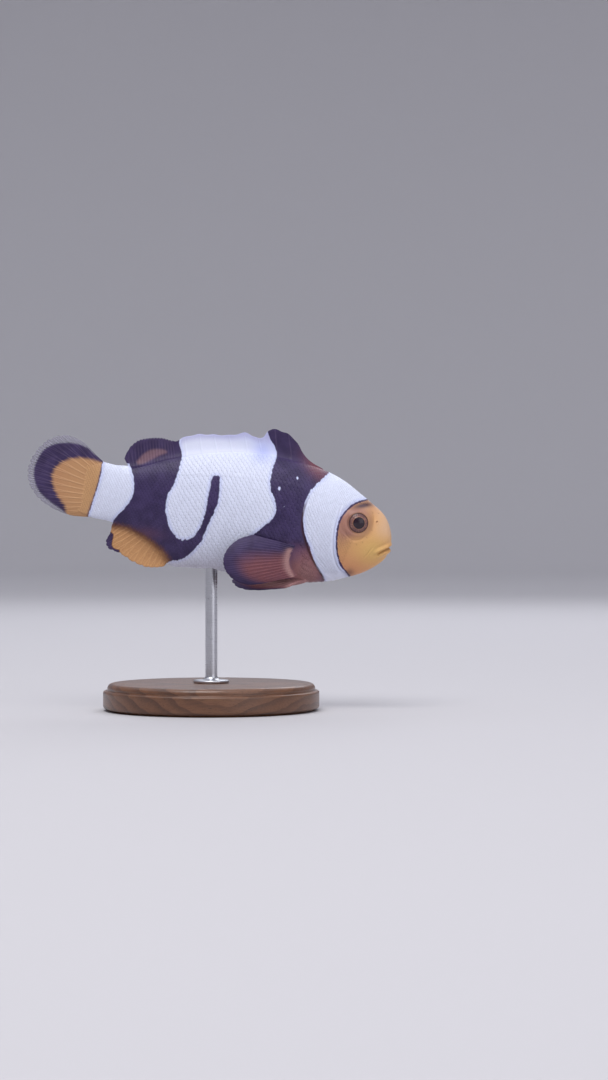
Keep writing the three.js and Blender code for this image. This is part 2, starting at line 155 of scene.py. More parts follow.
def region_distance(outline, s, t):
    """Signed distance to a closed side-view outline, positive inside."""
    best = np.full(s.shape, 1e9)
    inside = np.zeros(s.shape, bool)
    n = len(outline)
    for k in range(n):
        a, b = outline[k], outline[(k + 1) % n]
        d = b - a
        w = np.clip(((s - a[0]) * d[0] + (t - a[1]) * d[1]) / max(d @ d, 1e-12), 0, 1)
        q = (s - a[0] - w * d[0]) ** 2 + (t - a[1] - w * d[1]) ** 2
        best = np.minimum(best, q)
        cond = (a[1] > t) != (b[1] > t)
        with np.errstate(divide="ignore", invalid="ignore"):
            x = (b[0] - a[0]) * (t - a[1]) / (b[1] - a[1]) + a[0]
        inside ^= cond & (s < x)
    return np.where(inside, 1.0, -1.0) * np.sqrt(best)


# ------------------------------------------------------------------ the body's surface
def section(s, phi, inset=COAT):
    """Point of the plain body surface. phi 0 is the back, pi/2 the left flank, pi the belly."""
    back, belly = body_line(1, s) - inset, body_line(2, s) + inset
    half = np.maximum(body_line(3, s) - inset * np.clip(body_line(3, s) / 0.8, 0, 1), 0.02)
    c, sn = np.cos(phi), np.sin(phi)
    t = (back + belly) / 2 + c * np.maximum(back - belly, 0.02) / 2
    y = half * np.sign(sn) * np.abs(sn) ** (1.0 + 0.12 * c)
    return np.stack([np.broadcast_to(s, t.shape), y, t], -1)


def flank(s, t, inset=COAT):
    back, belly = body_line(1, s), body_line(2, s)
    c = np.clip((2 * t - back - belly) / (back - belly), -1, 1)
    return np.abs(section(s, np.arccos(c), inset)[..., 1])


GILL_LINE = curve_points([[14.4, 13], [12.9, 9.6], [10.9, 6.6], [9.75, 3.2], [9.75, 0],
                          [10.9, -2.9], [12.6, -5.6], [14.8, -8.3], [16.2, -12]], 60)
PREOPERCLE = curve_points([[15.7, 5.0], [15.35, 3.0], [15.1, 0.4], [15.25, -2.2], [15.9, -4.6],
                           [17.2, -6.4], [19.4, -7.1]], 40)
SUBOPERCLE = curve_points([[11.2, -0.6], [12.2, -3.4], [13.7, -5.4], [15.6, -6.9]], 24)
CHEEK = curve_points([[20.5, 0.3], [19.2, -1.0], [17.7, -0.9], [16.5, 0.6]], 20)
MOUTH_CORNER = np.array([22.62, -2.84])
MOUTH_DIR = np.array([3.25, 2.2]) / math.hypot(3.25, 2.2)
MOUTH_UP = np.array([-MOUTH_DIR[1], MOUTH_DIR[0]])
NOSTRIL = (21.85, 2.55)


def bell(x, width):
    return np.exp(-(x / width) ** 2)


def relief(P):
    """How far features raise the surface along its normal, and the painted shade that darkens their creases and holes.
    """
    s, y, t = P[..., 0], P[..., 1], P[..., 2]
    h = np.zeros(s.shape)
    dark = np.zeros(s.shape)
    head = s > 7.5
    S, T, Y = s[head], t[head], y[head]
    # the second field is painted shade: it darkens grooves, pores, the nostril, the mouth slit and the skin inside the
    # eye opening
    hh, shade_in_creases = np.zeros(S.shape), np.zeros(S.shape)
    # gill opening: the cover's edge stands over a groove
    d, along = line_distance(GILL_LINE, S, T)
    fade = smooth(0.30, 0.40, along) * (1 - smooth(0.90, 0.97, along)) * smooth(0.6, 1.6, np.abs(Y))
    hh += fade * np.where(d > 0, 0.24 * np.exp(-np.maximum(d, 0) / 0.9) * smooth(-0.02, 0.09, d),
                          -0.30 * np.exp(np.minimum(d, 0) / 0.55) * smooth(0.05, -0.03, d))
    shade_in_creases += fade * 0.9 * bell(d + 0.10, 0.16)
    # preopercle: fine ridge with a groove behind it
    d, along = line_distance(PREOPERCLE, S, T)
    fade = smooth(0.02, 0.12, along) * (1 - smooth(0.80, 1.0, along)) * smooth(0.8, 1.6, np.abs(Y))
    hh += fade * (0.10 * bell(d - 0.22, 0.26) - 0.15 * bell(d + 0.03, 0.11))
    shade_in_creases += fade * 0.35 * bell(d + 0.03, 0.09)
    # seam between the bones of the gill cover
    d, along = line_distance(SUBOPERCLE, S, T)
    fade = smooth(0.0, 0.15, along) * (1 - smooth(0.85, 1.0, along))
    hh -= fade * 0.06 * bell(d, 0.10)
    # bones below the eye
    d, along = line_distance(CHEEK, S, T)
    fade = smooth(0.0, 0.2, along) * (1 - smooth(0.8, 1.0, along))
    hh -= fade * 0.075 * bell(d, 0.12)
    hh += fade * 0.045 * bell(d - 0.30, 0.22)
    shade_in_creases += fade * 0.16 * bell(d, 0.10)
    # sensory pores in a row below the eye and down the preopercle
    for a, b in ((20.55, -0.35), (20.0, -1.25), (19.1, -1.75), (18.0, -1.75), (17.0, -1.2), (15.75, -0.2), (15.85, -2.0),
                 (16.5, -3.9), (17.8, -5.6), (21.2, 1.0), (20.9, 3.9), (21.9, 4.0)):
        hole = bell(np.hypot(S - a, T - b), 0.085)
        hh -= 0.075 * hole * smooth(0.8, 1.4, np.abs(Y))
        shade_in_creases += 0.45 * hole * smooth(0.8, 1.4, np.abs(Y))
    # orbit: raised rim round the eye, the skin dipping under the ball inside it
    r = np.hypot(S - EYE_S, T - EYE_T)
    side = smooth(1.0, 1.8, np.abs(Y))
    hh += side * (0.13 * bell(r - 2.05, 0.36) - 0.06 * bell(r - 2.80, 0.34))
    shade_in_creases += side * 0.60 * smooth(1.86, 1.70, r)
    # nostril: a small pore in a low collar
    r = np.hypot(S - NOSTRIL[0], T - NOSTRIL[1])
    hh += side * (0.05 * bell(r - 0.26, 0.11) - 0.24 * bell(r, 0.13))
    shade_in_creases += side * 0.85 * bell(r, 0.13)
    # mouth: oblique slit between two lips
    q = (S - MOUTH_CORNER[0]) * MOUTH_DIR[0] + (T - MOUTH_CORNER[1]) * MOUTH_DIR[1]
    m = (S - MOUTH_CORNER[0]) * MOUTH_UP[0] + (T - MOUTH_CORNER[1]) * MOUTH_UP[1]
    m = m + 0.035 * (q - 1.6) ** 2 * smooth(1.6, 0.0, q)
    gape = smooth(-0.10, 0.60, q)
    lips = smooth(-0.65, 0.75, q) * (1 - 0.35 * smooth(1.9, 3.1, q))
    hh += lips * (0.21 * bell(m - 0.40, 0.27) + 0.24 * bell(m + 0.42, 0.30)
                  - 0.05 * bell(m - 0.94, 0.24) - 0.06 * bell(m + 1.02, 0.26))
    hh += lips * 0.011 * np.cos(2 * np.pi * q / 0.24) * (bell(m - 0.42, 0.22) + bell(m + 0.42, 0.24))
    hh -= gape * 0.36 * bell(m, 0.15)
    shade_in_creases += gape * 0.72 * bell(m, 0.11)
    hh -= 0.06 * bell(np.hypot(q + 0.20, m), 0.30)
    # fine folds of the skin behind the corner of the mouth and under the eye
    for k, (a0, a1) in enumerate(((0.75, 0.9), (1.15, 1.1), (1.6, 1.2))):
        ring = np.hypot(q - 0.35, m * 0.9) - a0 - 0.30
        hh -= 0.032 * bell(ring, 0.07) * smooth(0.1, -0.5, q) * bell(m - 0.15 * k, 0.55 * a1)
    r = np.hypot(S - EYE_S, T - EYE_T)
    turn = np.arctan2(T - EYE_T, S - EYE_S)
    for r0, t0, wide in ((2.75, -2.1, 0.75), (3.15, -1.9, 0.60), (2.70, 2.4, 0.55)):
        away = np.abs((turn - t0 + np.pi) % (2 * np.pi) - np.pi)
        hh -= side * 0.050 * bell(r - r0, 0.085) * smooth(wide, wide * 0.3, away)
        shade_in_creases += side * 0.10 * bell(r - r0, 0.085) * smooth(wide, wide * 0.3, away)
    # folds: the jaw bone's rear end, and the groove under the eye
    q2 = (S - 21.3) * 0.50 + (T + 2.6) * 0.866
    m2 = -(S - 21.3) * 0.866 + (T + 2.6) * 0.50
    hh += 0.05 * bell(m2 + 0.28, 0.20) * bell(q2, 1.15) - 0.085 * bell(m2, 0.11) * bell(q2, 1.15)
    shade_in_creases += 0.24 * bell(m2, 0.10) * bell(q2, 1.10)
    # fleshy base of the pectoral fin
    e = ((S - 10.1) / 1.7) ** 2 + ((T + 5.9) / 2.7) ** 2
    hh += 0.42 * np.exp(-e)
    # throat: the rays of the gill membrane
    under = smooth(-6.9, -8.2, T) * smooth(12.5, 14.5, S) * (1 - smooth(19.5, 21.5, S))
    hh += under * 0.028 * np.cos(2 * np.pi * (T * 0.75 + S * 0.42) / 0.62)
    h[head] = hh
    dark[head] = shade_in_creases
    # lateral line: a faint raised row following the back
    back = body_line(1, s)
    lat = back * 0.60 - 0.1
    fade = smooth(-13.5, -12.0, s) * (1 - smooth(8.5, 9.6, s))
    h += fade * 0.03 * bell(t - lat, 0.14)
    return h, np.clip(dark, 0, 1)


def surface(s, phi, lift=0.0, inset=COAT):
    """Skin surface at (s, phi), lifted by lift along its normal; also the normal and the painted shade of its creases.
    """
    f = 0.004
    s = np.asarray(s, float)
    phi = np.asarray(phi, float)
    s_in = np.minimum(s, SNOUT - 0.0006)
    P = section(s_in, phi, 0.0)
    ds = np.minimum(0.02, (SNOUT - s_in) * 0.5)
    A = section(s_in + ds, phi, 0.0) - section(s_in - ds, phi, 0.0)
    B = section(s_in, phi + f, 0.0) - section(s_in, phi - f, 0.0)
    N = np.cross(B, A)
    N /= np.maximum(np.linalg.norm(N, axis=-1, keepdims=True), 1e-12)
    flip = np.sign(N[..., 1] * np.sin(phi) + N[..., 2] * np.cos(phi))
    N *= np.where(flip == 0, 1, flip)[..., None]
    h, dark = relief(P)
    inward = inset * np.clip(body_line(3, s_in) / 0.5, 0.15, 1) * smooth(-28.2, -26.0, s_in)
    inward = np.where(s_in > 0, inset, inward)
    return P + N * (h + lift - inward)[..., None], N, dark


def place(P):
    """Body frame, mm, to the shared frame, m."""
    P = np.asarray(P, float)
    s, y, t = P[..., 0], P[..., 1], P[..., 2]
    k = np.clip((SWEEP_FROM - s) / (SWEEP_FROM - SWEEP_TO), 0, 1.1)
    return np.stack([s * math.cos(PITCH) + t * math.sin(PITCH) + BODY_X,
                     y + TAIL_SWEEP * k * k,
                     -s * math.sin(PITCH) + t * math.cos(PITCH) + BODY_Z], -1) * MM


# ------------------------------------------------------------------ mesh helpers
def make_mesh(name, V, faces):
    me = bpy.data.meshes.new(name)
    V = np.asarray(V, float)
    tris = [np.asarray(f, np.int32) for f in faces if len(f)]
    loops = np.concatenate([f.ravel() for f in tris])
    sizes = np.concatenate([np.full(len(f), f.shape[1], np.int32) for f in tris])
    me.vertices.add(len(V))
    me.vertices.foreach_set("co", V.astype(np.float32).ravel())
    me.loops.add(len(loops))
    me.loops.foreach_set("vertex_index", loops)
    me.polygons.add(len(sizes))
    me.polygons.foreach_set("loop_start", np.concatenate([[0], np.cumsum(sizes)[:-1]]).astype(np.int32))
    me.polygons.foreach_set("loop_total", sizes)
    me.update(calc_edges=True)
    me.validate()
    return me


def make_object(name, me):
    ob = bpy.data.objects.new(name, me)
    bpy.context.scene.collection.objects.link(ob)
    return ob


def shade_smooth(me, on=True):
    me.polygons.foreach_set("use_smooth", np.full(len(me.polygons), on))
    me.update()


def coords(me):
    a = np.empty(len(me.vertices) * 3, np.float32)
    me.vertices.foreach_get("co", a)
    return a.reshape(-1, 3).astype(float)


def set_attr(me, name, values, kind="FLOAT"):
    a = me.attributes.get(name) or me.attributes.new(name, kind, "POINT")
    a.data.foreach_set("vector" if kind == "FLOAT_VECTOR" else "value", np.asarray(values, np.float32).ravel())


# ------------------------------------------------------------------ body skin
def eye_frame(side):
    """Centre of the ball and its axes: across, up, outwards."""
    turn = math.radians(9.0)
    out = np.array([math.sin(turn), side * math.cos(turn), 0.0])
    up = np.array([0.0, 0.0, 1.0])
    centre = np.array([EYE_S, side * (float(flank(EYE_S, EYE_T, 0.0)) + EYE_PROUD - EYE_DEEP), EYE_T])
    return centre, np.cross(up, out), up, out


OPENING = 1.64


def fit_orbits(P):
    """Draws the skin snugly over the edge of each eyeball, with a swelling round it, and lets it dip behind
    the ball inside the opening. Points near the opening's edge are set on it, so that it is a clean circle."""
    P = P.copy()
    for side in (1, -1):
        centre, across, up, out = eye_frame(side)
        rel = P - centre
        x, z, d = rel @ across, rel @ up, rel @ out
        r = np.maximum(np.hypot(x, z), 1e-6)
        near = (r < 4.2) & (P[..., 1] * side > 0) & (d > -2.0)
        off = r - OPENING
        held = np.sign(off) * np.interp(np.abs(off), [0, 0.08, 0.32], [0, 0, 0.32])
        rn = np.where(np.abs(off) < 0.32, OPENING + held, r)
        ball = EYE_DEEP * np.sqrt(np.maximum(0, 1 - (rn / EYE_ACROSS) ** 2))
        rest = EYE_DEEP * math.sqrt(1 - (2.0 / EYE_ACROSS) ** 2) + 0.115
        lid = np.where(rn < 2.0, ball + 0.035 + 0.080 * smooth(OPENING, OPENING + 0.20, rn),
                       rest - 0.85 * (rn - 2.0) - 0.35 * (rn - 2.0) ** 2)
        k = 0.09
        new = d + k * np.log1p(np.exp(np.clip((lid - d) / k, -30, 30)))
        new = np.where(rn < OPENING + 0.2, np.where(d < lid, lid, new), new)
        dip = ball + 0.035 - 1.5 * smooth(OPENING - 0.002, OPENING - 0.20, rn)
        new = np.where(rn <= OPENING, dip, new)
        grow = (rn / r)[..., None]
        moved = centre + (x[..., None] * across + z[..., None] * up) * grow + new[..., None] * out
        P = np.where(near[..., None], moved, P)
    return P


def body_stations():
    near = SNOUT - 0.00060 * np.arange(1, 36) ** 2.0
    jaws = np.arange(near[-1] - 0.046, 21.0, -0.046)
    head = np.arange(jaws[-1] - 0.070, 8.6, -0.070)
    trunk = np.linspace(head[-1] - 0.2, -28.2, 182)
    return np.concatenate([near, jaws, head, trunk])


def body_mesh():
    S = body_stations()
    M = 360
    # rings closer together in angle at back and belly, where the body curves hardest
    j = np.arange(M) / M * 2 * np.pi
    phi = j - 0.10 * np.sin(2 * j)
    ss, pp = np.meshgrid(S, phi, indexing="ij")
    P, N, dark = surface(ss, pp)
    V = fit_orbits(P).reshape(-1, 3)
    n = len(S)
    tip = len(V)
    top = np.array([SNOUT, 0.0, -0.9])
    rise, _ = relief(top[None])
    V = np.vstack([V, [[SNOUT - COAT + rise[0], 0, -0.9]], [P[-1].mean(0)]])
    a = np.arange(n * M).reshape(n, M)
    b = np.roll(a, -1, 1)
    quads = np.stack([a[:-1], b[:-1], b[1:], a[1:]], -1).reshape(-1, 4)
    cap1 = np.stack([np.full(M, tip), b[0], a[0]], -1)
    cap2 = np.stack([np.full(M, tip + 1), a[-1], b[-1]], -1)
    return V, [quads, cap1, cap2]


# ------------------------------------------------------------------ fins
def even_rays(count):
    return lambda u: (u * count - 0.5, np.full(np.shape(u), float(count)), np.ones(np.shape(u)))


def dorsal_rays(u):
    """Ten spines along the first part of the fin, sixteen close soft rays along the rest."""
    cut = (DORSAL_FRONT - DORSAL_NOTCH) / (DORSAL_FRONT - DORSAL_END)
    soft = u > cut
    x = np.where(soft, 9.9 + (u - cut) / (1 - cut) * 15.6, u / cut * 10.0 - 0.25)
    dx = np.where(soft, 15.6 / (1 - cut), 10.0 / cut)
    return x, dx, soft.astype(float)


def fin_mesh(root, edge, n_along, n_out, rays, thick, bow, splits, ray_radius, flare,
             median=True, scallop=(0.02, 0.01), v_power=1.0, plan=None, root_fade=(-1.0, -0.5)):
    """Closed thin sheet with its rays standing out on both faces.

    rays(u): place among the rays, rays for each unit of u, and 1 where they branch. thick: half thickness
    of the membrane at root and edge. splits: where the rays fork and how far the forks open.
    flare(P): extra half thickness at the body.
    """
    u = np.linspace(0, 1, n_along + 1)
    v = np.linspace(0, 1, n_out + 1) ** v_power
    A, B = catmull(root, u), catmull(edge if plan is None else plan, u)
    uu, vv = np.meshgrid(u, v, indexing="ij")
    x, dx, soft = rays(uu)
    # the margin draws in a little between the rays and between their tips
    recede = 1 - scallop[0] * np.sin(np.pi * x) ** 2 - scallop[1] * soft * np.cos(2 * np.pi * x) ** 2
    ve = vv * recede
    P = A[:, None, :] * (1 - ve[..., None]) + B[:, None, :] * ve[..., None]
    P[..., 1] += bow(uu, ve)
    du = np.gradient(P, axis=0)
    dv = np.gradient(P, axis=1)
    width = np.linalg.norm(du, axis=-1) / (u[1] - u[0]) / dx              # mm between rays
    if median:
        N = np.zeros_like(P)
        N[..., 1] = 1.0
    else:
        N = np.cross(du, dv)
        N /= np.maximum(np.linalg.norm(N, axis=-1, keepdims=True), 1e-9)
    d = np.abs(x - np.round(x))
    spread = 0.25
    for start, opening in splits:
        d = np.abs(d - spread * opening * soft * smooth(start, 1.0, ve) ** 0.7)
        spread *= 0.5
    d = d * width
    radius = np.minimum(ray_radius * (1 - 0.6 * ve) * (1 - 0.25 * soft), 0.42 * width)
    ridge = np.exp(-(d / np.maximum(radius, 1e-3)) ** 2) * smooth(root_fade[0], root_fade[1], ve)
    joints = 1 - 0.16 * soft * ridge * smooth(0.25, 0.5, ve) * bell(np.sin(np.pi * ve * 26), 0.35)
    half = thick[0] * (1 - ve) + thick[1] * ve + radius * 0.60 * ridge * joints
    half = half * (0.35 + 0.65 * smooth(0.0, 0.05, 1 - vv)) + flare(P)
    rim = np.minimum(smooth(-0.004, 0.012, uu), smooth(-0.004, 0.012, 1 - uu))
    half = half * (0.25 + 0.75 * rim)
    top = (P + N * half[..., None]).reshape(-1, 3)
    bottom = (P - N * half[..., None]).reshape(-1, 3)
    na, no = n_along + 1, n_out + 1
    idx = np.arange(na * no).reshape(na, no)
    q = np.stack([idx[:-1, :-1], idx[1:, :-1], idx[1:, 1:], idx[:-1, 1:]], -1).reshape(-1, 4)
    loop = np.concatenate([idx[:-1, 0], idx[-1, :-1], idx[:0:-1, -1], idx[0, :0:-1]])
    nxt = np.roll(loop, -1)
    K = na * no
    faces = [q, q[:, ::-1] + K, np.stack([loop, loop + K, nxt + K, nxt], -1)]
    V = np.vstack([top, bottom])
    tri = np.concatenate([np.concatenate([f[:, [0, 1, 2]], f[:, [0, 2, 3]]]) for f in faces])
    a, b, c = V[tri[:, 0]], V[tri[:, 1]], V[tri[:, 2]]
    if np.einsum("ij,ij->i", a, np.cross(b, c)).sum() < 0:
        faces = [f[:, ::-1] for f in faces]
    two = lambda w: np.concatenate([w.ravel(), w.ravel()])
    face = np.concatenate([np.full(K, 1.0), np.full(K, -1.0)])
    return V, faces, {"fu": two(uu), "fv": two(ve), "ray": two(ridge), "rim": two(1 - vv), "face": face,
                      "ps": two(P[..., 0]), "py": two(P[..., 1]), "pt": two(P[..., 2])}


def on_back(s, down):
    return [[x, float(body_line(1, x)) - down] for x in s]


def on_belly(s, up):
    return [[x, float(body_line(2, x)) + up] for x in s]


DORSAL_FRONT, DORSAL_NOTCH, DORSAL_END = 11.9, -13.0, -20.2
DORSAL_EDGE = [[11.6, 9.75], [9.6, 10.5], [8.0, 11.6], [6.3, 13.65], [4.5, 14.7], [2.7, 15.0], [1.4, 14.6],
               [0.55, 13.1], [-0.5, 13.15], [-2.1, 13.6], [-3.4, 13.2], [-4.8, 12.75], [-7.4, 12.4],
               [-10.4, 11.9], [-12.4, 11.0], [-13.4, 10.3],
               [-14.3, 10.25], [-15.8, 10.4], [-17.8, 10.05], [-19.7, 9.3], [-20.95, 7.8], [-21.5, 6.2], [-21.3, 5.05]]
ANAL_FRONT, ANAL_END = -11.2, -21.2
ANAL_EDGE = [[-11.9, -10.75], [-13.2, -11.15], [-14.9, -11.35], [-17.2, -10.85], [-19.6, -9.85],
             [-21.7, -9.3], [-22.2, -8.2], [-21.7, -6.7], [-21.6, -5.3]]
CAUDAL_ROOT = [[-23.8, 4.25], [-24.1, 2.2], [-24.1, 0], [-24.1, -2.2], [-23.8, -4.3]]
CAUDAL_EDGE = [[-26.4, 5.75], [-28.6, 7.4], [-31.6, 8.2], [-34.4, 7.1], [-36.4, 4.6], [-37.15, 1.6],
               [-36.5, -0.9], [-34.6, -3.0], [-31.8, -4.35], [-28.8, -4.95], [-26.3, -4.8]]
PECTORAL_ROOT = [[10.0, -3.7], [9.3, -5.0], [9.3, -6.7], [10.3, -8.5]]
PECTORAL_EDGE = [[1.9, -3.0, 2.0], [-0.2, -4.1, 3.0], [-1.6, -5.7, 3.9], [-2.15, -7.6, 4.5],
                 [-1.6, -9.35, 4.6], [0.0, -10.75, 4.1], [2.4, -11.25, 3.1], [4.6, -10.75, 2.0]]
PELVIC_ROOT = [[12.0, -9.0, 1.7], [10.8, -9.1, 1.3], [9.4, -9.2, 0.9]]
PELVIC_EDGE = [[8.6, -10.85, 2.7], [6.2, -11.5, 3.2], [3.6, -12.05, 3.5], [1.5, -12.15, 3.5],
               [0.0, -11.6, 3.1], [-0.3, -10.9, 2.5], [1.0, -10.55, 1.7]]


def dorsal_edge_points():
    """Margin of the dorsal fin with the points shared out as the root is, so that spines stand upright."""
    c = catmull(DORSAL_EDGE, np.linspace(0, 1, 400))
    s_root = np.linspace(DORSAL_FRONT, DORSAL_END, 60)
    lean = np.interp(s_root, [DORSAL_END, -17, DORSAL_NOTCH, -6, 4, 9, DORSAL_FRONT], [-1.3, -1.1, -0.9, -1.3, -1.3, -1.6, -0.3])
    s_edge = s_root + lean
    order = np.argsort(-c[:, 0])
    t_edge = np.interp(-s_edge, -c[order, 0], c[order, 2])
    return [[a, b] for a, b in zip(s_edge, t_edge)]


def build_fins():
    fins = {}
    above = lambda P: P[..., 2] - body_line(1, P[..., 0])
    below = lambda P: body_line(2, P[..., 0]) - P[..., 2]
    fillet = lambda size, reach, gap: (lambda P: size * np.exp(-np.maximum(gap(P), -0.25) / reach))
    cut = (DORSAL_FRONT - DORSAL_NOTCH) / (DORSAL_FRONT - DORSAL_END)

    def dorsal_bow(u, v):
        first = 0.18 * np.sin(2 * np.pi * 1.5 * u / cut) * smooth(cut + 0.02, cut - 0.05, u)
        second = 0.28 * np.sin(2 * np.pi * (u - cut) / (1 - cut) + 1) * smooth(cut - 0.02, cut + 0.06, u)
        return v * v * (first + second)

    fins["dorsal"] = fin_mesh(
        on_back(np.linspace(DORSAL_FRONT, DORSAL_END, 60), 0.75), DORSAL_EDGE, 560, 44, dorsal_rays,
        (0.10, 0.05), dorsal_bow, ((0.40, 1.0), (0.80, 0.6)), 0.17,
        lambda P: fillet(0.40, 0.85, above)(P) * (0.06 + 0.94 * smooth(12.1, 8.6, P[..., 0])),
        scallop=(0.040, 0.012), plan=dorsal_edge_points())
    fins["anal"] = fin_mesh(
        on_belly(np.linspace(ANAL_FRONT, ANAL_END, 6), 0.75), ANAL_EDGE, 300, 40, even_rays(14),
        (0.10, 0.045), lambda u, v: -0.3 * v * v * np.sin(2 * np.pi * u + 0.5), ((0.40, 1.0), (0.80, 0.6)), 0.17,
        fillet(0.34, 0.60, below), scallop=(0.03, 0.015))
    fins["caudal"] = fin_mesh(
        CAUDAL_ROOT, CAUDAL_EDGE, 400, 84, even_rays(17), (0.135, 0.045),
        lambda u, v: 0.45 * v * v * np.sin(2 * np.pi * 1.1 * u + 0.6) + 1.1 * np.maximum(0, u - 0.55) ** 1.5 * v ** 1.8,
        ((0.34, 1.0), (0.60, 1.0), (0.86, 0.7)), 0.15,
        lambda P: 0.10 * smooth(-27.6, -24.5, P[..., 0]), scallop=(0.012, 0.012))
    for name, sign in (("left", 1), ("right", -1)):
        root = [[s, t, sign * (float(flank(s, t)) - 0.45)] for s, t in PECTORAL_ROOT]
        out0 = float(flank(8.5, -6.0))
        edge = [[s, t, sign * (out0 + o - 0.9)] for s, t, o in PECTORAL_EDGE]
        fins["pectoral_" + name] = fin_mesh(
            root, edge, 240, 64, even_rays(17), (0.12, 0.045),
            lambda u, v, g=sign: g * 0.9 * np.sin(np.pi * v) * (0.6 + 0.4 * np.sin(np.pi * u)),
            ((0.32, 1.0), (0.66, 0.8)), 0.14,
            lambda P: 0.26 * np.exp(-np.maximum(9.3 - P[..., 0], 0) / 0.9), median=False, scallop=(0.006, 0.005),
            root_fade=(0.03, 0.24))
        root = [[s, t, sign * y] for s, t, y in PELVIC_ROOT]
        edge = [[s, t, sign * y] for s, t, y in PELVIC_EDGE]
        fins["pelvic_" + name] = fin_mesh(
            root, edge, 150, 56, even_rays(6), (0.12, 0.05),
            lambda u, v, g=sign: g * 0.3 * np.sin(np.pi * v),
            ((0.28, 1.0), (0.55, 1.0), (0.80, 0.8)), 0.16,
            lambda P: 0.20 * np.exp(-np.maximum(9.5 - P[..., 0], 0) / 0.9), median=False, scallop=(0.02, 0.012))
    return fins


PART_IDS = {"body": 0, "dorsal": 1, "anal": 2, "caudal": 3,
            "pectoral_left": 4, "pectoral_right": 5, "pelvic_left": 6, "pelvic_right": 7}


def build_skin():
    V, F = body_mesh()
    pieces = [("body", V, F, {})]
    for name, (v, f, attrs) in build_fins().items():
        pieces.append((name, v, f, attrs))
    objects = []
    for name, v, f, attrs in pieces:
        me = make_mesh("raw_" + name, v, f)
        objects.append(make_object("raw_" + name, me))
    body = objects[0]
    for other in objects[1:]:
        mod = body.modifiers.new("join", "BOOLEAN")
        mod.operation = "UNION"
        mod.solver = "MANIFOLD"
        mod.object = other
    dg = bpy.context.evaluated_depsgraph_get()
    joined = bpy.data.meshes.new_from_object(body.evaluated_get(dg), depsgraph=dg)
    for o in objects:
        me = o.data
        bpy.data.objects.remove(o)
        bpy.data.meshes.remove(me)
    # carry each piece's own coordinates over to the joined skin, by place
    total = sum(len(v) for _, v, _, _ in pieces)
    tree = KDTree(total)
    table = {k: np.zeros(total) for k in ("fu", "fv", "ray", "rim", "face", "ps", "py", "pt", "part")}
    i = 0
    for name, v, f, attrs in pieces:
        for p in v:
            tree.insert(p, i)
            i += 1
    tree.balance()
    i = 0
    for name, v, f, attrs in pieces:
        table["part"][i:i + len(v)] = PART_IDS[name]
        for k, values in attrs.items():
            table[k][i:i + len(v)] = values
        i += len(v)
    C = coords(joined)
    found = [tree.find(p) for p in C]
    index = np.array([f[1] for f in found])
    off = np.array([f[2] for f in found])
    fields = {k: a[index] for k, a in table.items()}
    # soften the creases where fins meet the body
    edges = np.empty(len(joined.edges) * 2, np.int32)
    joined.edges.foreach_get("vertices", edges)
    edges = edges.reshape(-1, 2)
    near = (off > 1e-5).astype(float)
    for _ in range(8):
        spread = near.copy()
        np.maximum.at(spread, edges[:, 0], near[edges[:, 1]] * 0.86)
        np.maximum.at(spread, edges[:, 1], near[edges[:, 0]] * 0.86)
        near = spread
    # and the slit of the mouth, whose walls cross the rings of the mesh
    _, crease_shade = relief(C)
    jaws = (fields["part"] == 0) & (C[:, 0] > 20.8) & (C[:, 2] < 0.8)
    pole = bell(np.hypot(C[:, 1], C[:, 2] + 0.9), 0.7) * (C[:, 0] > 23)
    near = np.maximum(near, np.where(jaws, np.maximum(crease_shade, pole), 0))
    count = np.maximum(np.bincount(edges.ravel(), minlength=len(C)), 1)
    for _ in range(14):
        for axis in range(3):
            c = C[:, axis]
            around = (np.bincount(edges[:, 0], c[edges[:, 1]], len(C)) + np.bincount(edges[:, 1], c[edges[:, 0]], len(C)))
            C[:, axis] = c + (around / count - c) * 0.5 * near
    return joined, C, fields


# ------------------------------------------------------------------ markings
HEAD_BAR_FRONT = curve_points([[20.9, 8.2], [20.3, 6.6], [19.59, 6.05], [17.73, 5.06], [16.32, 3.47], [15.58, 1.82],
                               [15.51, -0.73], [15.93, -3.19], [17.01, -5.55], [18.22, -6.69], [18.83, -7.27],
                               [19.2, -8.5], [19.4, -10.0]], 70)
HEAD_BAR_REAR = curve_points([[13.3, 10.9], [12.76, 9.45], [11.67, 7.91], [10.3, 5.99], [9.6, 4.18], [9.44, 2.12],
                              [9.73, 0.48], [10.42, -1.6], [11.36, -3.13], [12.38, -5.15], [13.32, -6.69],
                              [14.56, -8.0], [15.3, -10.0]], 70)
MID_FRONT = curve_points([[0.9, 16.5], [1.15, 14.7], [2.17, 13.05], [3.02, 12.01], [3.57, 10.76], [3.52, 9.06],
                          [3.31, 7.33], [3.34, 6.15], [3.73, 4.87], [4.51, 3.31], [5.03, 2.21], [5.09, 0.87],
                          [4.6, -0.23], [3.19, -1.82], [1.8, -3.3], [0.84, -4.93], [0.25, -6.6], [0.11, -8.0],
                          [0.6, -9.6], [1.0, -12.6]], 100)
MID_REAR = curve_points([[-12.9, 12.5], [-12.95, 10.6], [-12.59, 9.35], [-12.03, 8.09], [-11.92, 6.42], [-12.13, 4.69],
                         [-12.34, 2.96], [-12.94, 1.51], [-13.15, -0.22], [-12.9, -1.7], [-12.29, -3.28],
                         [-11.35, -4.81], [-10.0, -5.77], [-8.83, -5.74], [-7.6, -5.02], [-6.97, -3.73],
                         [-6.54, -2.3], [-6.33, -0.57], [-6.34, 1.45], [-6.29, 3.15], [-6.24, 4.85],
                         [-5.86, 5.59], [-5.17, 5.54], [-4.79, 4.25], [-4.67, 2.58], [-4.61, 1.24],
                         [-5.09, -0.87], [-5.71, -3.17], [-6.2, -5.29], [-6.96, -6.77], [-7.91, -8.12],
                         [-8.66, -8.72], [-9.43, -9.15], [-10.3, -9.48], [-11.05, -9.72], [-11.5, -10.4],
                         [-11.7, -12.2]], 180)
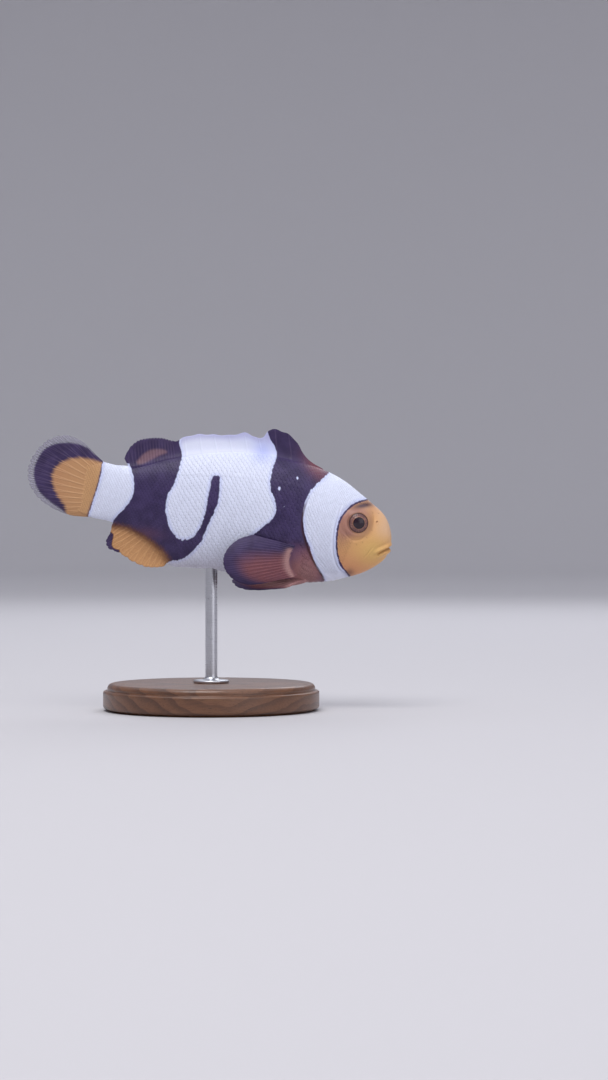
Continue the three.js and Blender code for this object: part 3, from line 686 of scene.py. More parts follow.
TAIL_BAR_FRONT = curve_points([[-20.6, 6.3], [-20.3, 4.98], [-19.61, 3.92], [-19.0, 2.33], [-18.72, 0.69],
                               [-18.99, -0.71], [-19.75, -2.19], [-20.84, -3.73], [-21.49, -4.86], [-21.7, -6.0]], 50)
TAIL_BAR_REAR = curve_points([[-24.9, 6.2], [-24.87, 5.05], [-24.78, 2.53], [-25.02, -0.05], [-25.42, -2.65],
                              [-25.76, -4.57], [-25.9, -6.0]], 40)
TAIL_ORANGE = curve_points([[-25.0, 4.62], [-27.04, 4.85], [-29.2, 4.75], [-31.12, 3.98], [-32.29, 2.93], [-32.89, 1.48],
                            [-32.61, -0.16], [-31.86, -1.56], [-30.81, -2.73], [-29.9, -3.7], [-29.3, -5.8],
                            [-26.0, -5.8], [-24.0, -5.0], [-23.6, 0.0], [-24.0, 4.4]], 90)
TAIL_BLACK = curve_points([[-24.2, 5.4], [-26.33, 5.64], [-27.65, 6.43], [-29.07, 6.87], [-31.59, 6.77], [-33.67, 6.08],
                           [-34.71, 5.23], [-35.61, 3.55], [-35.93, 1.47], [-35.43, -0.48], [-34.32, -1.98],
                           [-32.43, -3.18], [-30.59, -4.05], [-29.4, -4.75], [-28.5, -6.5], [-24.5, -6.5],
                           [-22.5, -3.0], [-22.5, 3.0]], 110)
ANAL_LINE = curve_points([[-22.6, -5.3], [-21.1, -5.13], [-18.91, -5.09], [-16.77, -5.74], [-14.96, -6.45],
                          [-13.07, -7.5], [-11.7, -8.5], [-10.9, -9.4], [-10.4, -10.6]], 60)
ANAL_TIP = curve_points([[-19.7, -9.35], [-20.6, -9.25], [-21.15, -8.7], [-21.15, -7.7], [-21.25, -6.9],
                         [-22.6, -6.6], [-23.4, -8.0], [-22.6, -10.4], [-20.6, -10.6], [-19.8, -10.2]], 60)
SPECKS = [(7.62, 7.45, 0.20), (5.02, 5.25, 0.22), (6.35, 2.45, 0.11)]


def blot(s, t, centre, radii, turn=0.0):
    c, sn = math.cos(turn), math.sin(turn)
    a, b = (s - centre[0]) * c + (t - centre[1]) * sn, -(s - centre[0]) * sn + (t - centre[1]) * c
    return np.exp(-(a / radii[0]) ** 2 - (b / radii[1]) ** 2)


def markings(P, part, fu, fv):
    """Fields that the materials turn into colour: distances in mm to the edges of the crisp markings
    (positive inside) and weights of the soft ones."""
    s, t = P[..., 0], P[..., 2]
    y = np.abs(P[..., 1])
    n = s.shape
    body = part == 0
    median = part <= 3
    pect = (part == 4) | (part == 5)
    pelv = part >= 6
    m = {}

    front, _ = line_distance(HEAD_BAR_FRONT, s, t)
    rear, _ = line_distance(HEAD_BAR_REAR, s, t)
    bar1 = np.minimum(-front, rear)
    front2, _ = line_distance(MID_FRONT, s, t)
    poly2 = np.vstack([MID_FRONT, MID_REAR[::-1]])
    bar2 = region_distance(poly2, s, t)
    # past the ends of its outline the middle bar carries on upwards and downwards
    above = t > 13.0
    bar2 = np.where(above & (s < 1.4) & (s > -12.5), np.maximum(bar2, 0.3), bar2)
    poly3 = np.vstack([TAIL_BAR_FRONT, TAIL_BAR_REAR[::-1]])
    bar3 = region_distance(poly3, s, t)
    white = np.maximum(np.maximum(bar1, bar2), bar3)
    for a, b, r in SPECKS:
        white = np.maximum(white, r - np.hypot(s - a, t - b))
    # the rear ends of the median fins are dark down to just above the flesh
    rise = np.where(part == 1, t - body_line(1, s), body_line(2, s) - t)
    white = np.where(((part == 1) | (part == 2)) & (s < -16), np.minimum(white, 0.30 - rise), white)
    white = np.where(median, white, -2.0)

    face = np.where(s > 12, front - 0.26, -2.0)
    tail = np.minimum(region_distance(TAIL_ORANGE, s, t), np.where(s < -22, -bar3 - 0.16, 9.0))
    orange = np.maximum(face, np.where(s < -20, tail, -2.0))
    orange = np.where(median, orange, -2.0)

    d, _ = line_distance(ANAL_LINE, s, t)
    d = -d
    tip = region_distance(ANAL_TIP, s, t)
    anal = smooth(-1.3, 2.3, d) * smooth(0.15, -0.35, tip) * (s < -9) * (s > -23.5) * (t < -3)
    anal = np.where(median, anal, 0.0)

    # brown grounds
    brown = 0.85 * blot(s, t, (10.4, 10.0), (2.9, 1.5), -0.75) * (t > 5)
    brown += 1.3 * blot(s, t, (11.6, -7.4), (3.0, 3.5)) * smooth(-1.8, -4.4, t)
    brown += 0.26 * blot(s, t, (-15.3, -5.7), (2.4, 0.9))
    brown = np.where(median, brown, 0.0)
    window = region_distance(curve_points([[-19.3, 5.7], [-18.33, 7.2], [-17.13, 8.1], [-15.2, 8.42], [-14.6, 8.15],
                                           [-15.65, 7.45], [-16.85, 6.55], [-18.2, 5.6], [-19.0, 5.35]], 48), s, t)
    tan = smooth(-0.32, 0.28, window) * 0.34
    tan = np.where(part == 1, tan, 0.0)
    throat = 0.46 * blot(s, t, (11.6, -7.9), (2.6, 2.7)) * smooth(-2.0, -5.0, t)
    tan = np.where(body, np.maximum(tan, throat), tan)
    pale = 0.85 * blot(s, t, (9.2, -9.9), (1.0, 1.7), 0.12)

    # pectoral and pelvic fins
    inner = smooth(0.30, 0.68, fu + 0.16 * (1 - fv)) * smooth(0.90, 0.64, fv)
    brown = np.where(pect, inner, brown)
    arc = bell(fv - (0.15 - 0.05 * np.sin(np.pi * fu)), 0.055) * smooth(0.05, 0.20, fu)
    tan = np.where(pect, 0.95 * arc, tan)
    brown = np.where(pelv, smooth(0.95, 0.70, fv), brown)
    tan = np.where(pelv, np.maximum(0.62 * smooth(0.86, 0.40, fv), pale), tan)

    dark = 1.1 * blot(s, t, (19.15, 4.85), (1.9, 0.48), 0.36)
    dark += 0.62 * blot(s, t, (18.75, -6.5), (0.75, 0.65))
    dark = np.where(body, dark, 0.0)

    blue = 0.80 * blot(s, t, (1.2, 10.9), (1.8, 2.0)) + 0.30 * blot(s, t, (-4.0, 13.2), (8.0, 1.4))
    blue = np.where(median, blue, 0.0)

    clear = -region_distance(TAIL_BLACK, s, t)
    clear = np.where(part == 3, clear, -2.0)
    edge_white = np.where((part == 1) & (s < 1.2) & (s > -12.6), 1.0 * smooth(0.60, 1.0, fv), 0.0)
    edge_white = np.where(part == 1, np.maximum(edge_white, np.clip(blot(s, t, (1.6, 13.6), (1.2, 1.2)), 0, 1)), edge_white)

    m["m_white"] = np.clip(white, -2, 2)
    m["m_orange"] = np.clip(orange, -2, 2)
    m["m_anal"] = anal
    m["m_brown"] = np.clip(brown, 0, 1)
    m["m_tan"] = tan
    m["m_dark"] = np.clip(dark, 0, 1)
    shade = 1.0 * blot(s, t, (16.4, 0.7), (1.7, 3.0)) + 0.55 * bell(np.hypot(s - EYE_S, t - EYE_T) - 1.9, 0.8)
    shade += 0.35 * blot(s, t, (18.6, 3.9), (2.4, 0.9))
    m["m_shade"] = np.where(body, np.clip(shade, 0, 1), 0.0)
    m["m_gold"] = np.where(body, np.clip(blot(s, t, (21.9, -2.4), (2.3, 2.2), 0.5), 0, 1), 0.0)
    m["m_blue"] = np.clip(blue, 0, 1)
    m["m_clear"] = np.clip(clear, -2, 2)
    m["m_thin"] = edge_white
    return m


# ------------------------------------------------------------------ node helpers
def linear(r, g, b):
    f = lambda c: c / 12.92 if c <= 0.04045 else ((c + 0.055) / 1.055) ** 2.4
    return (f(r / 255), f(g / 255), f(b / 255), 1.0)


class Nodes:
    def __init__(self, name):
        self.mat = bpy.data.materials.new(name)
        self.mat.use_nodes = True
        self.tree = self.mat.node_tree
        self.bsdf = self.tree.nodes["Principled BSDF"]
        self.out = self.tree.nodes["Material Output"]

    def new(self, kind, **settings):
        n = self.tree.nodes.new(kind)
        for k, v in settings.items():
            setattr(n, k, v)
        return n

    def put(self, socket, value):
        if isinstance(value, bpy.types.NodeSocket):
            self.tree.links.new(value, socket)
        else:
            socket.default_value = value

    def attr(self, name, out="Fac"):
        return self.new("ShaderNodeAttribute", attribute_type="GEOMETRY", attribute_name=name).outputs[out]

    def math(self, op, a, b=0.0, c=0.0, clamp=False):
        n = self.new("ShaderNodeMath", operation=op, use_clamp=clamp)
        self.put(n.inputs[0], a)
        self.put(n.inputs[1], b)
        self.put(n.inputs[2], c)
        return n.outputs[0]

    def vmath(self, op, a, b=(0, 0, 0)):
        n = self.new("ShaderNodeVectorMath", operation=op)
        self.put(n.inputs[0], a)
        if op == "SCALE":
            self.put(n.inputs["Scale"], b)
        else:
            self.put(n.inputs[1], b)
        return n.outputs[0]

    def step(self, x, lo, hi, to_lo=0.0, to_hi=1.0):
        n = self.new("ShaderNodeMapRange", interpolation_type="SMOOTHSTEP")
        self.put(n.inputs["Value"], x)
        for k, v in (("From Min", lo), ("From Max", hi), ("To Min", to_lo), ("To Max", to_hi)):
            n.inputs[k].default_value = v
        return n.outputs[0]

    def mix(self, fac, a, b, blend="MIX"):
        n = self.new("ShaderNodeMix", data_type="RGBA", blend_type=blend)
        self.put(n.inputs[0], fac)
        self.put(n.inputs[6], a)
        self.put(n.inputs[7], b)
        return n.outputs[2]

    def noise(self, vec, scale, detail=3.0, rough=0.55, distort=0.0):
        n = self.new("ShaderNodeTexNoise")
        self.put(n.inputs["Vector"], vec)
        n.inputs["Scale"].default_value = scale
        n.inputs["Detail"].default_value = detail
        n.inputs["Roughness"].default_value = rough
        n.inputs["Distortion"].default_value = distort
        return n.outputs[0]

    def voronoi(self, vec, scale, feature="F1"):
        n = self.new("ShaderNodeTexVoronoi", feature=feature)
        self.put(n.inputs["Vector"], vec)
        n.inputs["Scale"].default_value = scale
        return n.outputs["Distance"]

    def split(self, vec):
        n = self.new("ShaderNodeSeparateXYZ")
        self.put(n.inputs[0], vec)
        return n.outputs

    def bump(self, height, strength, distance):
        n = self.new("ShaderNodeBump")
        n.inputs["Strength"].default_value = strength
        n.inputs["Distance"].default_value = distance
        self.put(n.inputs["Height"], height)
        return n.outputs[0]


WHITE = linear(224, 229, 247)
BLUE = linear(184, 193, 243)
LAVENDER = linear(176, 176, 216)
BLACK = linear(66, 54, 94)
BLACK_2 = linear(54, 43, 80)
BROWN = linear(146, 90, 92)
BROWN_2 = linear(120, 72, 82)
TAN = linear(200, 158, 152)
ORANGE = linear(220, 168, 110)
ORANGE_LOW = linear(214, 152, 110)
ORANGE_TOP = linear(198, 152, 118)
# painted highlight colour for the top of the snout
SNOUT_HIGHLIGHT = linear(220, 183, 149)
GOLD = linear(224, 184, 112)
SHADE = linear(150, 106, 104)
ORANGE_TAIL = linear(198, 154, 110)
ORANGE_ANAL = linear(214, 166, 112)
INK = linear(78, 52, 58)


def fish_material(name, coat=False, clear=False):
    """Colour of skin and scales alike, from the markings carried by each vertex."""
    k = Nodes(name)
    rest = k.attr("rest", "Vector")
    xyz = k.split(rest)
    s, t = xyz[0], xyz[2]
    wob = k.math("MULTIPLY", k.math("SUBTRACT", k.noise(rest, 1.3, 2), 0.5), 0.26)
    wob = k.math("ADD", wob, k.math("MULTIPLY", k.math("SUBTRACT", k.noise(rest, 6.0, 2), 0.5), 0.10))
    fine = k.noise(rest, 9.0, 4, 0.6)
    broad = k.noise(rest, 0.45, 3, 0.5)
    pigment = k.voronoi(rest, 7.5)

    black = k.mix(k.step(broad, 0.35, 0.65), BLACK, BLACK_2)
    black = k.mix(k.math("MULTIPLY", k.step(pigment, 0.55, 0.05), 0.18), black, linear(64, 56, 92))
    brown = k.mix(k.step(fine, 0.3, 0.7), BROWN, BROWN_2)
    ray = k.attr("ray")
    base = k.mix(k.math("MULTIPLY", k.attr("m_brown"), k.step(broad, 0.2, 0.7, 0.82, 1.0)), black, brown)
    base = k.mix(k.attr("m_tan"), base, k.mix(k.step(fine, 0.3, 0.7), TAN, linear(176, 134, 132)))
    # anal fin: black runs down along the rays
    anal = k.math("ADD", k.attr("m_anal"), k.math("MULTIPLY", k.math("SUBTRACT", k.noise(rest, 2.2, 3), 0.5), 0.28))
    base = k.mix(k.step(anal, 0.08, 0.50), base, linear(112, 70, 54))
    base = k.mix(k.step(anal, 0.30, 0.88), base, k.mix(k.step(fine, 0.3, 0.7), ORANGE_ANAL, linear(190, 140, 96)))
    # orange of the face and tail
    face = k.mix(k.step(t, -1.5, -6.5), ORANGE, ORANGE_LOW)
    face = k.mix(k.step(t, 2.6, 5.6), face, ORANGE_TOP)
    # painted highlight: the top of the snout is paler
    snout = k.math("MULTIPLY", k.step(s, 20.6, 23.6), k.step(t, -1.5, 1.8))
    face = k.mix(k.math("MULTIPLY", snout, 0.88), face, SNOUT_HIGHLIGHT)
    face = k.mix(k.math("MULTIPLY", k.attr("m_gold"), 0.85), face, GOLD)
    face = k.mix(k.math("MULTIPLY", k.attr("m_shade"), 0.86), face, SHADE)
    tail = k.mix(k.step(s, -28.0, -33.0), ORANGE_TAIL, linear(190, 144, 104))
    orange = k.mix(k.step(s, 0.0, 1.0), tail, face)
    orange = k.mix(k.math("MULTIPLY", k.step(fine, 0.38, 0.75), 0.22), orange, linear(182, 122, 78))
    orange = k.mix(k.math("MULTIPLY", k.step(pigment, 0.5, 0.05), 0.14), orange, linear(236, 188, 126))
    d = k.math("ADD", k.attr("m_orange"), wob)
    streak = k.math("MULTIPLY", k.math("SUBTRACT", ray, 0.4), k.step(s, -26.0, -30.0, 0.0, 0.26))
    d_tail = k.math("ADD", d, streak)
    soft = k.step(d_tail, -0.40, 0.40)
    hard = k.step(d, -0.07, 0.09)
    base = k.mix(k.mix(k.step(s, -24.0, -26.5), hard, soft), base, orange)
    # white bars, bluish where the fin thins out
    white = k.mix(k.math("MULTIPLY", k.step(fine, 0.3, 0.8), 0.35), WHITE, linear(206, 210, 232))
    white = k.mix(k.attr("m_blue"), white, BLUE)
    white = k.mix(k.math("MULTIPLY", k.step(k.attr("m_white"), 0.75, 0.05), 0.42), white, BLUE)
    white = k.mix(k.math("MULTIPLY", k.attr("m_thin"), 0.8), white, LAVENDER)
    # painted shade: the white greys towards the belly
    white = k.mix(k.math("MULTIPLY", k.step(t, -5.0, -10.5), 0.22), white, linear(204, 198, 202))
    is_white = k.step(k.math("ADD", k.attr("m_white"), wob), -0.06, 0.08)
    base = k.mix(is_white, base, white)
    base = k.mix(k.attr("m_dark"), base, INK)
    # painted shade: creases, pores, the mouth slit and the eye opening darkened in colour
    base = k.mix(k.math("MULTIPLY", k.attr("crease_shade"), 0.72), base, linear(84, 50, 40))
    # rays: pale crests on dark fins, darker ones on light fins
    fin = k.attr("fin")
    base = k.mix(k.math("MULTIPLY", k.math("MULTIPLY", ray, fin), 0.05), base, linear(176, 150, 154))
    web = k.math("MULTIPLY", k.math("SUBTRACT", 1.0, ray), fin)
    web = k.math("MULTIPLY", web, k.math("SUBTRACT", 0.40, k.math("MULTIPLY", is_white, 0.30)))
    base = k.mix(web, base, linear(206, 192, 196), "MULTIPLY")
    if coat:
        rim = k.attr("edge")
        base = k.mix(k.math("MULTIPLY", k.step(rim, 0.62, 1.0), 0.42), base, k.mix(0.24, base, linear(40, 30, 40)))
        base = k.mix(k.math("MULTIPLY", k.attr("tint"), 0.10), base, linear(160, 158, 164), "MULTIPLY")
    k.put(k.bsdf.inputs["Base Color"], base)
    rough = k.step(fine, 0.25, 0.75, 0.35, 0.49)
    rough = k.math("ADD", rough, k.math("MULTIPLY", fin, 0.16))
    k.put(k.bsdf.inputs["Roughness"], rough)
    k.bsdf.inputs["Specular IOR Level"].default_value = 0.22
    k.bsdf.inputs["Coat Weight"].default_value = 0.08
    k.bsdf.inputs["Coat Roughness"].default_value = 0.18
    height = k.math("MULTIPLY", fine, 0.5)
    if coat:
        rings = k.math("SINE", k.math("MULTIPLY", k.attr("ringd"), 46.0))
        fan = k.math("SINE", k.math("MULTIPLY", k.attr("fan"), 20.0))
        height = k.math("ADD", height, k.math("MULTIPLY", rings, 0.14))
        height = k.math("ADD", height, k.math("MULTIPLY", fan, 0.12))
    else:
        height = k.math("ADD", height, k.math("MULTIPLY", k.voronoi(rest, 5.0), 0.5))
        height = k.math("ADD", height, k.math("MULTIPLY", k.step(k.voronoi(rest, 2.3), 0.16, 0.04), -0.8))
    k.put(k.bsdf.inputs["Normal"], k.bump(height, 0.55, 0.00002))
    if clear:
        d = k.math("ADD", k.attr("m_clear"), wob)
        fade = k.step(d, -0.15, 0.35)
        colour = k.mix(k.math("MULTIPLY", ray, 0.6), linear(120, 116, 134), linear(206, 204, 218))
        k.put(k.bsdf.inputs["Base Color"], k.mix(fade, base, colour))
        alpha = k.math("ADD", k.step(fade, 0.0, 1.0, 1.0, 0.34), k.math("MULTIPLY", ray, 0.40), clamp=True)
        k.put(k.bsdf.inputs["Alpha"], alpha)
    return k.mat


# ------------------------------------------------------------------ unwrap by shape
ARC_S = np.linspace(SNOUT - 0.02, -28.2, 420)
ARC_F = np.linspace(0, np.pi, 241)
_ring = section(ARC_S[:, None] * np.ones((1, 241)), ARC_F[None, :] * np.ones((420, 1)))
_step = np.linalg.norm(np.diff(_ring, axis=1), axis=-1)
ARC = np.concatenate([np.zeros((420, 1)), np.cumsum(_step, 1)], 1)      # arc from the back, mm
ARC_MID = ARC[:, 120]
ARC_TOTAL = ARC[:, -1]


def arc_of(s, phi):
    """Height of (s, phi) on the unwrap: arc from the middle of the flank, positive towards the back."""
    i = np.clip(np.interp(-s, -ARC_S, np.arange(420)), 0, 418.999)
    j = np.clip(np.abs(phi) / np.pi * 240, 0, 239.999)
    a, b = i.astype(int), j.astype(int)
    wi, wj = i - a, j - b
    at = lambda x: (ARC[x, b] * (1 - wj) + ARC[x, b + 1] * wj)
    return (ARC_MID[a] - at(a)) * (1 - wi) + (ARC_MID[a + 1] - at(a + 1)) * wi


_frac = np.linspace(0, 1, 241)
PHI_OF = np.stack([np.interp(_frac, ARC[i] / ARC_TOTAL[i], ARC_F) for i in range(420)])


def phi_at(s, height):
    """The angle whose unwrap height is given."""
    i = np.clip(np.interp(-s, -ARC_S, np.arange(420)), 0, 418.999)
    a = i.astype(int)
    wi = i - a
    mid = ARC_MID[a] * (1 - wi) + ARC_MID[a + 1] * wi
    tot = ARC_TOTAL[a] * (1 - wi) + ARC_TOTAL[a + 1] * wi
    f = (mid - height) / tot
    j = np.clip(f, 0, 1) * 239.999
    b = j.astype(int)
    wj = j - b
    at = lambda x: PHI_OF[x, b] * (1 - wj) + PHI_OF[x, b + 1] * wj
    phi = at(a) * (1 - wi) + at(a + 1) * wi
    # past the back or the belly the surface is followed round to the other side
    half = body_line(3, s)
    return phi + np.where(f < 0, f * tot / np.maximum(half, 0.5), 0) + np.where(f > 1, (f - 1) * tot / np.maximum(half, 0.5), 0)


UV_SCALE = 1 / 70.0


def uv_of(s, height, left):
    """Place on the unwrap: left side in the upper row, right side in the lower one."""
    u = 0.02 + (s + 38.0) * UV_SCALE
    v = (0.745 if left else 0.255) + (height - 1.5) * UV_SCALE * 0.96
    return np.stack([u, v], -1)


# ------------------------------------------------------------------ scales
def scale_size(s):
    return 1.0 - 0.40 * smooth(8.5, 15.0, s) - 0.36 * smooth(-6.0, -25.0, s)


_xs = np.linspace(24, -28, 1041)
_xd = np.concatenate([[0], np.cumsum(-np.diff(_xs) / scale_size((_xs[1:] + _xs[:-1]) / 2))])
along_of = lambda s: np.interp(-s, -_xs, _xd)
s_of = lambda x: np.interp(x, _xd, _xs)

COAT_SPLIT = 3.0                 # the coat is in two lengths on each side
PITCH_ALONG, PITCH_ROW = 0.76, 0.50
SCALE_A, SCALE_B = 0.54, 0.56


def bare(s, t, y):
    """Distance in mm to the nearest part that carries no scales (negative inside it)."""
    d = np.full(s.shape, 9.0)
    r = np.hypot(s - EYE_S, t - EYE_T)
    d = np.minimum(d, r - 2.85)
    snout = 19.9 - s + 0.10 * (t - 4)
    d = np.minimum(d, np.where(t > 3.2, snout, 18.6 - s + 0.25 * (t + 1)))
    d = np.minimum(d, np.where(s > 13.2, t + 7.0 + 0.10 * (s - 14), 9.0))
    g, a = line_distance(GILL_LINE, s, t)
    d = np.minimum(d, np.where((a > 0.33) & (a < 0.97), np.where(g > 0, g - 0.34, -g - 0.34), 9.0))
    g, a = line_distance(PREOPERCLE, s, t)
    d = np.minimum(d, np.where((a > 0.04) & (a < 0.97), np.abs(g) - 0.20, 9.0))
    e = np.sqrt(((s - 9.6) / 0.95) ** 2 + ((t + 5.9) / 2.65) ** 2)
    d = np.minimum(d, (e - 1) * 0.95)
    e = np.sqrt(((s - 10.8) / 1.6) ** 2 + ((t + 9.2) / 0.8) ** 2)
    d = np.minimum(d, (e - 1) * 0.8)
    back, belly = body_line(1, s), body_line(2, s)
    on_dorsal = (s < DORSAL_FRONT + 0.3) & (s > DORSAL_END - 1.0) & (t > back - 1.2)
    d = np.minimum(d, np.where(on_dorsal, y - 0.58, 9.0))
    on_anal = (s < ANAL_FRONT + 0.5) & (s > ANAL_END - 1.0) & (t < belly + 1.2)
    d = np.minimum(d, np.where(on_anal, y - 0.52, 9.0))
    d = np.minimum(d, s + 27.2 + 0.03 * t * t)
    rod = np.hypot(s * math.cos(PITCH) + t * math.sin(PITCH) + BODY_X, y)
    d = np.minimum(d, np.where(t < -5, rod - 1.3, 9.0))
    return d


def build_scales(side, fore):
    rng = np.random.default_rng(11 if side > 0 else 12)
    rows = np.arange(-50, 51)
    cx, cl = [], []
    for r in rows:
        x = np.arange(_xd[0], _xd[-1], PITCH_ALONG) + (r % 2) * PITCH_ALONG / 2
        cx.append(x)
        cl.append(np.full(x.shape, r * PITCH_ROW))
    cx, cl = np.concatenate(cx), np.concatenate(cl)
    cx = cx + rng.normal(0, 0.018, cx.shape)
    cl = cl + rng.normal(0, 0.018, cl.shape)
    s0 = s_of(cx)
    h0 = cl * scale_size(s0)
    top = np.interp(-s0, -ARC_S, ARC_MID)
    bottom = np.interp(-s0, -ARC_S, ARC_TOTAL - ARC_MID)
    keep = (h0 < top - 0.02) & (h0 > -bottom + 0.02) & (s0 < 20.5) & (s0 > -27.5)
    cx, cl, s0, h0 = cx[keep], cl[keep], s0[keep], h0[keep]
    C = section(s0, phi_at(s0, h0))
    gap = bare(C[:, 0], C[:, 2], np.abs(C[:, 1]))
    keep = (gap > 0.10) & ((C[:, 0] > COAT_SPLIT) == fore)
    cx, cl, gap = cx[keep], cl[keep], gap[keep]
    n = len(cx)
    grow = 0.62 + 0.38 * smooth(0.05, 0.9, gap)
    size = grow * (1 + rng.normal(0, 0.03, n))
    turn = rng.normal(0, 0.05, n)
    lift = 1 + rng.normal(0, 0.10, n)
    # one plate: a centre, two rings, then the rim and the underside
    seg = 14
    ang = np.arange(seg) / seg * 2 * np.pi
    shape = lambda r: (r * np.sign(np.cos(ang)) * np.abs(np.cos(ang)) ** 0.86 * SCALE_A,
                       r * np.sign(np.sin(ang)) * np.abs(np.sin(ang)) ** 0.86 * SCALE_B)
    a, b, top_h, ring = [0.0], [0.0], [0.012], [0.0]
    for r, dome in ((0.5, 0.009), (0.86, 0.003), (1.0, -0.006)):
        x, z = shape(r)
        a += list(x)
        b += list(z)
        top_h += [dome] * seg
        ring += [r] * seg
    x, z = shape(0.97)
    a += list(x)
    b += list(z)
    top_h += [-0.030] * seg
    ring += [1.0] * seg
    a, b, top_h, ring = map(np.array, (a, b, top_h, ring))
    m = len(a)
    tri = [[0, 1 + i, 1 + (i + 1) % seg] for i in range(seg)]
    quad = []
    for lay in range(3):
        o, p = 1 + lay * seg, 1 + (lay + 1) * seg
        quad += [[o + i, p + i, p + (i + 1) % seg, o + (i + 1) % seg] for i in range(seg)]
    last = 1 + 3 * seg
    under = [[last, last + i + 1, last + i] for i in range(1, seg - 1)]
    ca, sa = np.cos(turn)[:, None], np.sin(turn)[:, None]
    aa = (a[None] * ca - b[None] * sa) * size[:, None]
    bb = (a[None] * sa + b[None] * ca) * size[:, None]
    X = cx[:, None] + aa
    L = cl[:, None] + bb
    s = s_of(X)
    local = scale_size(s_of(cx))[:, None]
    slope = (a[None] / SCALE_A + 1) / 2                                       # 0 at the root, 1 at the free edge
    height = (-0.030 + 0.090 * slope + top_h[None]) * local ** 0.8 * lift[:, None] * (0.55 + 0.45 * grow[:, None])
    phi = phi_at(s, L * scale_size(s))
    P, N, crease_shade = surface(s, phi * side, lift=height)
    P = P.reshape(-1, 3)
    base_s = s_of(cx)
    root, _, _ = surface(base_s, phi_at(base_s, cl * scale_size(base_s)) * side)
    R = np.repeat(root, m, 0)
    tri = np.array(tri + under)
    quad = np.array(quad)
    off = (np.arange(n) * m)[:, None, None]
    T = (tri[None] + off).reshape(-1, 3)
    Q = (quad[None] + off).reshape(-1, 4)
    # faces out: compare one top face's normal with the surface's
    f = P[T[0]]
    if np.dot(np.cross(f[1] - f[0], f[2] - f[0]), N[0, 0]) < 0:
        T, Q = T[:, ::-1], Q[:, ::-1]
    me = make_mesh("scales_%s_%s" % ("front" if fore else "rear", "left" if side > 0 else "right"), place(P), [T, Q])
    seen = P * 0.72 + R * 0.28
    marks = markings(seen, np.zeros(len(P)), np.zeros(len(P)), np.zeros(len(P)))
    for name, values in marks.items():
        set_attr(me, name, values)
    set_attr(me, "rest", P, "FLOAT_VECTOR")
    # the scales carry the skin's painted crease shade
    set_attr(me, "crease_shade", crease_shade.reshape(-1))
    set_attr(me, "ray", np.zeros(len(P)))
    set_attr(me, "fin", np.zeros(len(P)))
    set_attr(me, "edge", np.tile(ring, n))
    set_attr(me, "tint", np.repeat(rng.uniform(0, 1, n), m))
    focus = np.hypot(a + 0.25 * SCALE_A, b) / SCALE_A
    set_attr(me, "ringd", np.tile(focus, n))
    set_attr(me, "fan", np.tile(np.arctan2(b, a + 0.9 * SCALE_A), n))
    # every scale is a small patch at its root's place on the unwrap
    centre = uv_of(base_s, cl * scale_size(base_s), side > 0)
    local_uv = np.stack([-a / SCALE_A, b / SCALE_B], -1) * 0.0015
    uv = (centre[:, None, :] + local_uv[None]).reshape(-1, 2)
    layer = me.uv_layers.new(name="OFBake")
    loops = np.empty(len(me.loops), np.int32)
    me.loops.foreach_get("vertex_index", loops)
    layer.data.foreach_set("uv", uv[loops].astype(np.float32).ravel())
    shade_smooth(me)
    ob = make_object(me.name, me)
    return ob


# ------------------------------------------------------------------ the skin, with its markings and unwrap
skin_mesh, skin_rest, skin_fields = build_skin()
part = skin_fields["part"]
skin_mesh.vertices.foreach_set("co", place(skin_rest).astype(np.float32).ravel())
skin_mesh.name = "skin"
shade_smooth(skin_mesh)
skin = make_object("skin", skin_mesh)
marks = markings(skin_rest, part, skin_fields["fu"], skin_fields["fv"])
for name, values in marks.items():
    set_attr(skin_mesh, name, values)
set_attr(skin_mesh, "rest", skin_rest, "FLOAT_VECTOR")
# painted shade of the creases, for the skin's colour
_, crease_shade = relief(skin_rest)
set_attr(skin_mesh, "crease_shade", np.where(part == 0, crease_shade, 0))
on_fin = np.where(part > 0, smooth(0.04, 0.16, skin_fields["fv"]), 0)
set_attr(skin_mesh, "fin", on_fin)
set_attr(skin_mesh, "ray", np.where(part > 0, skin_fields["ray"], 0))


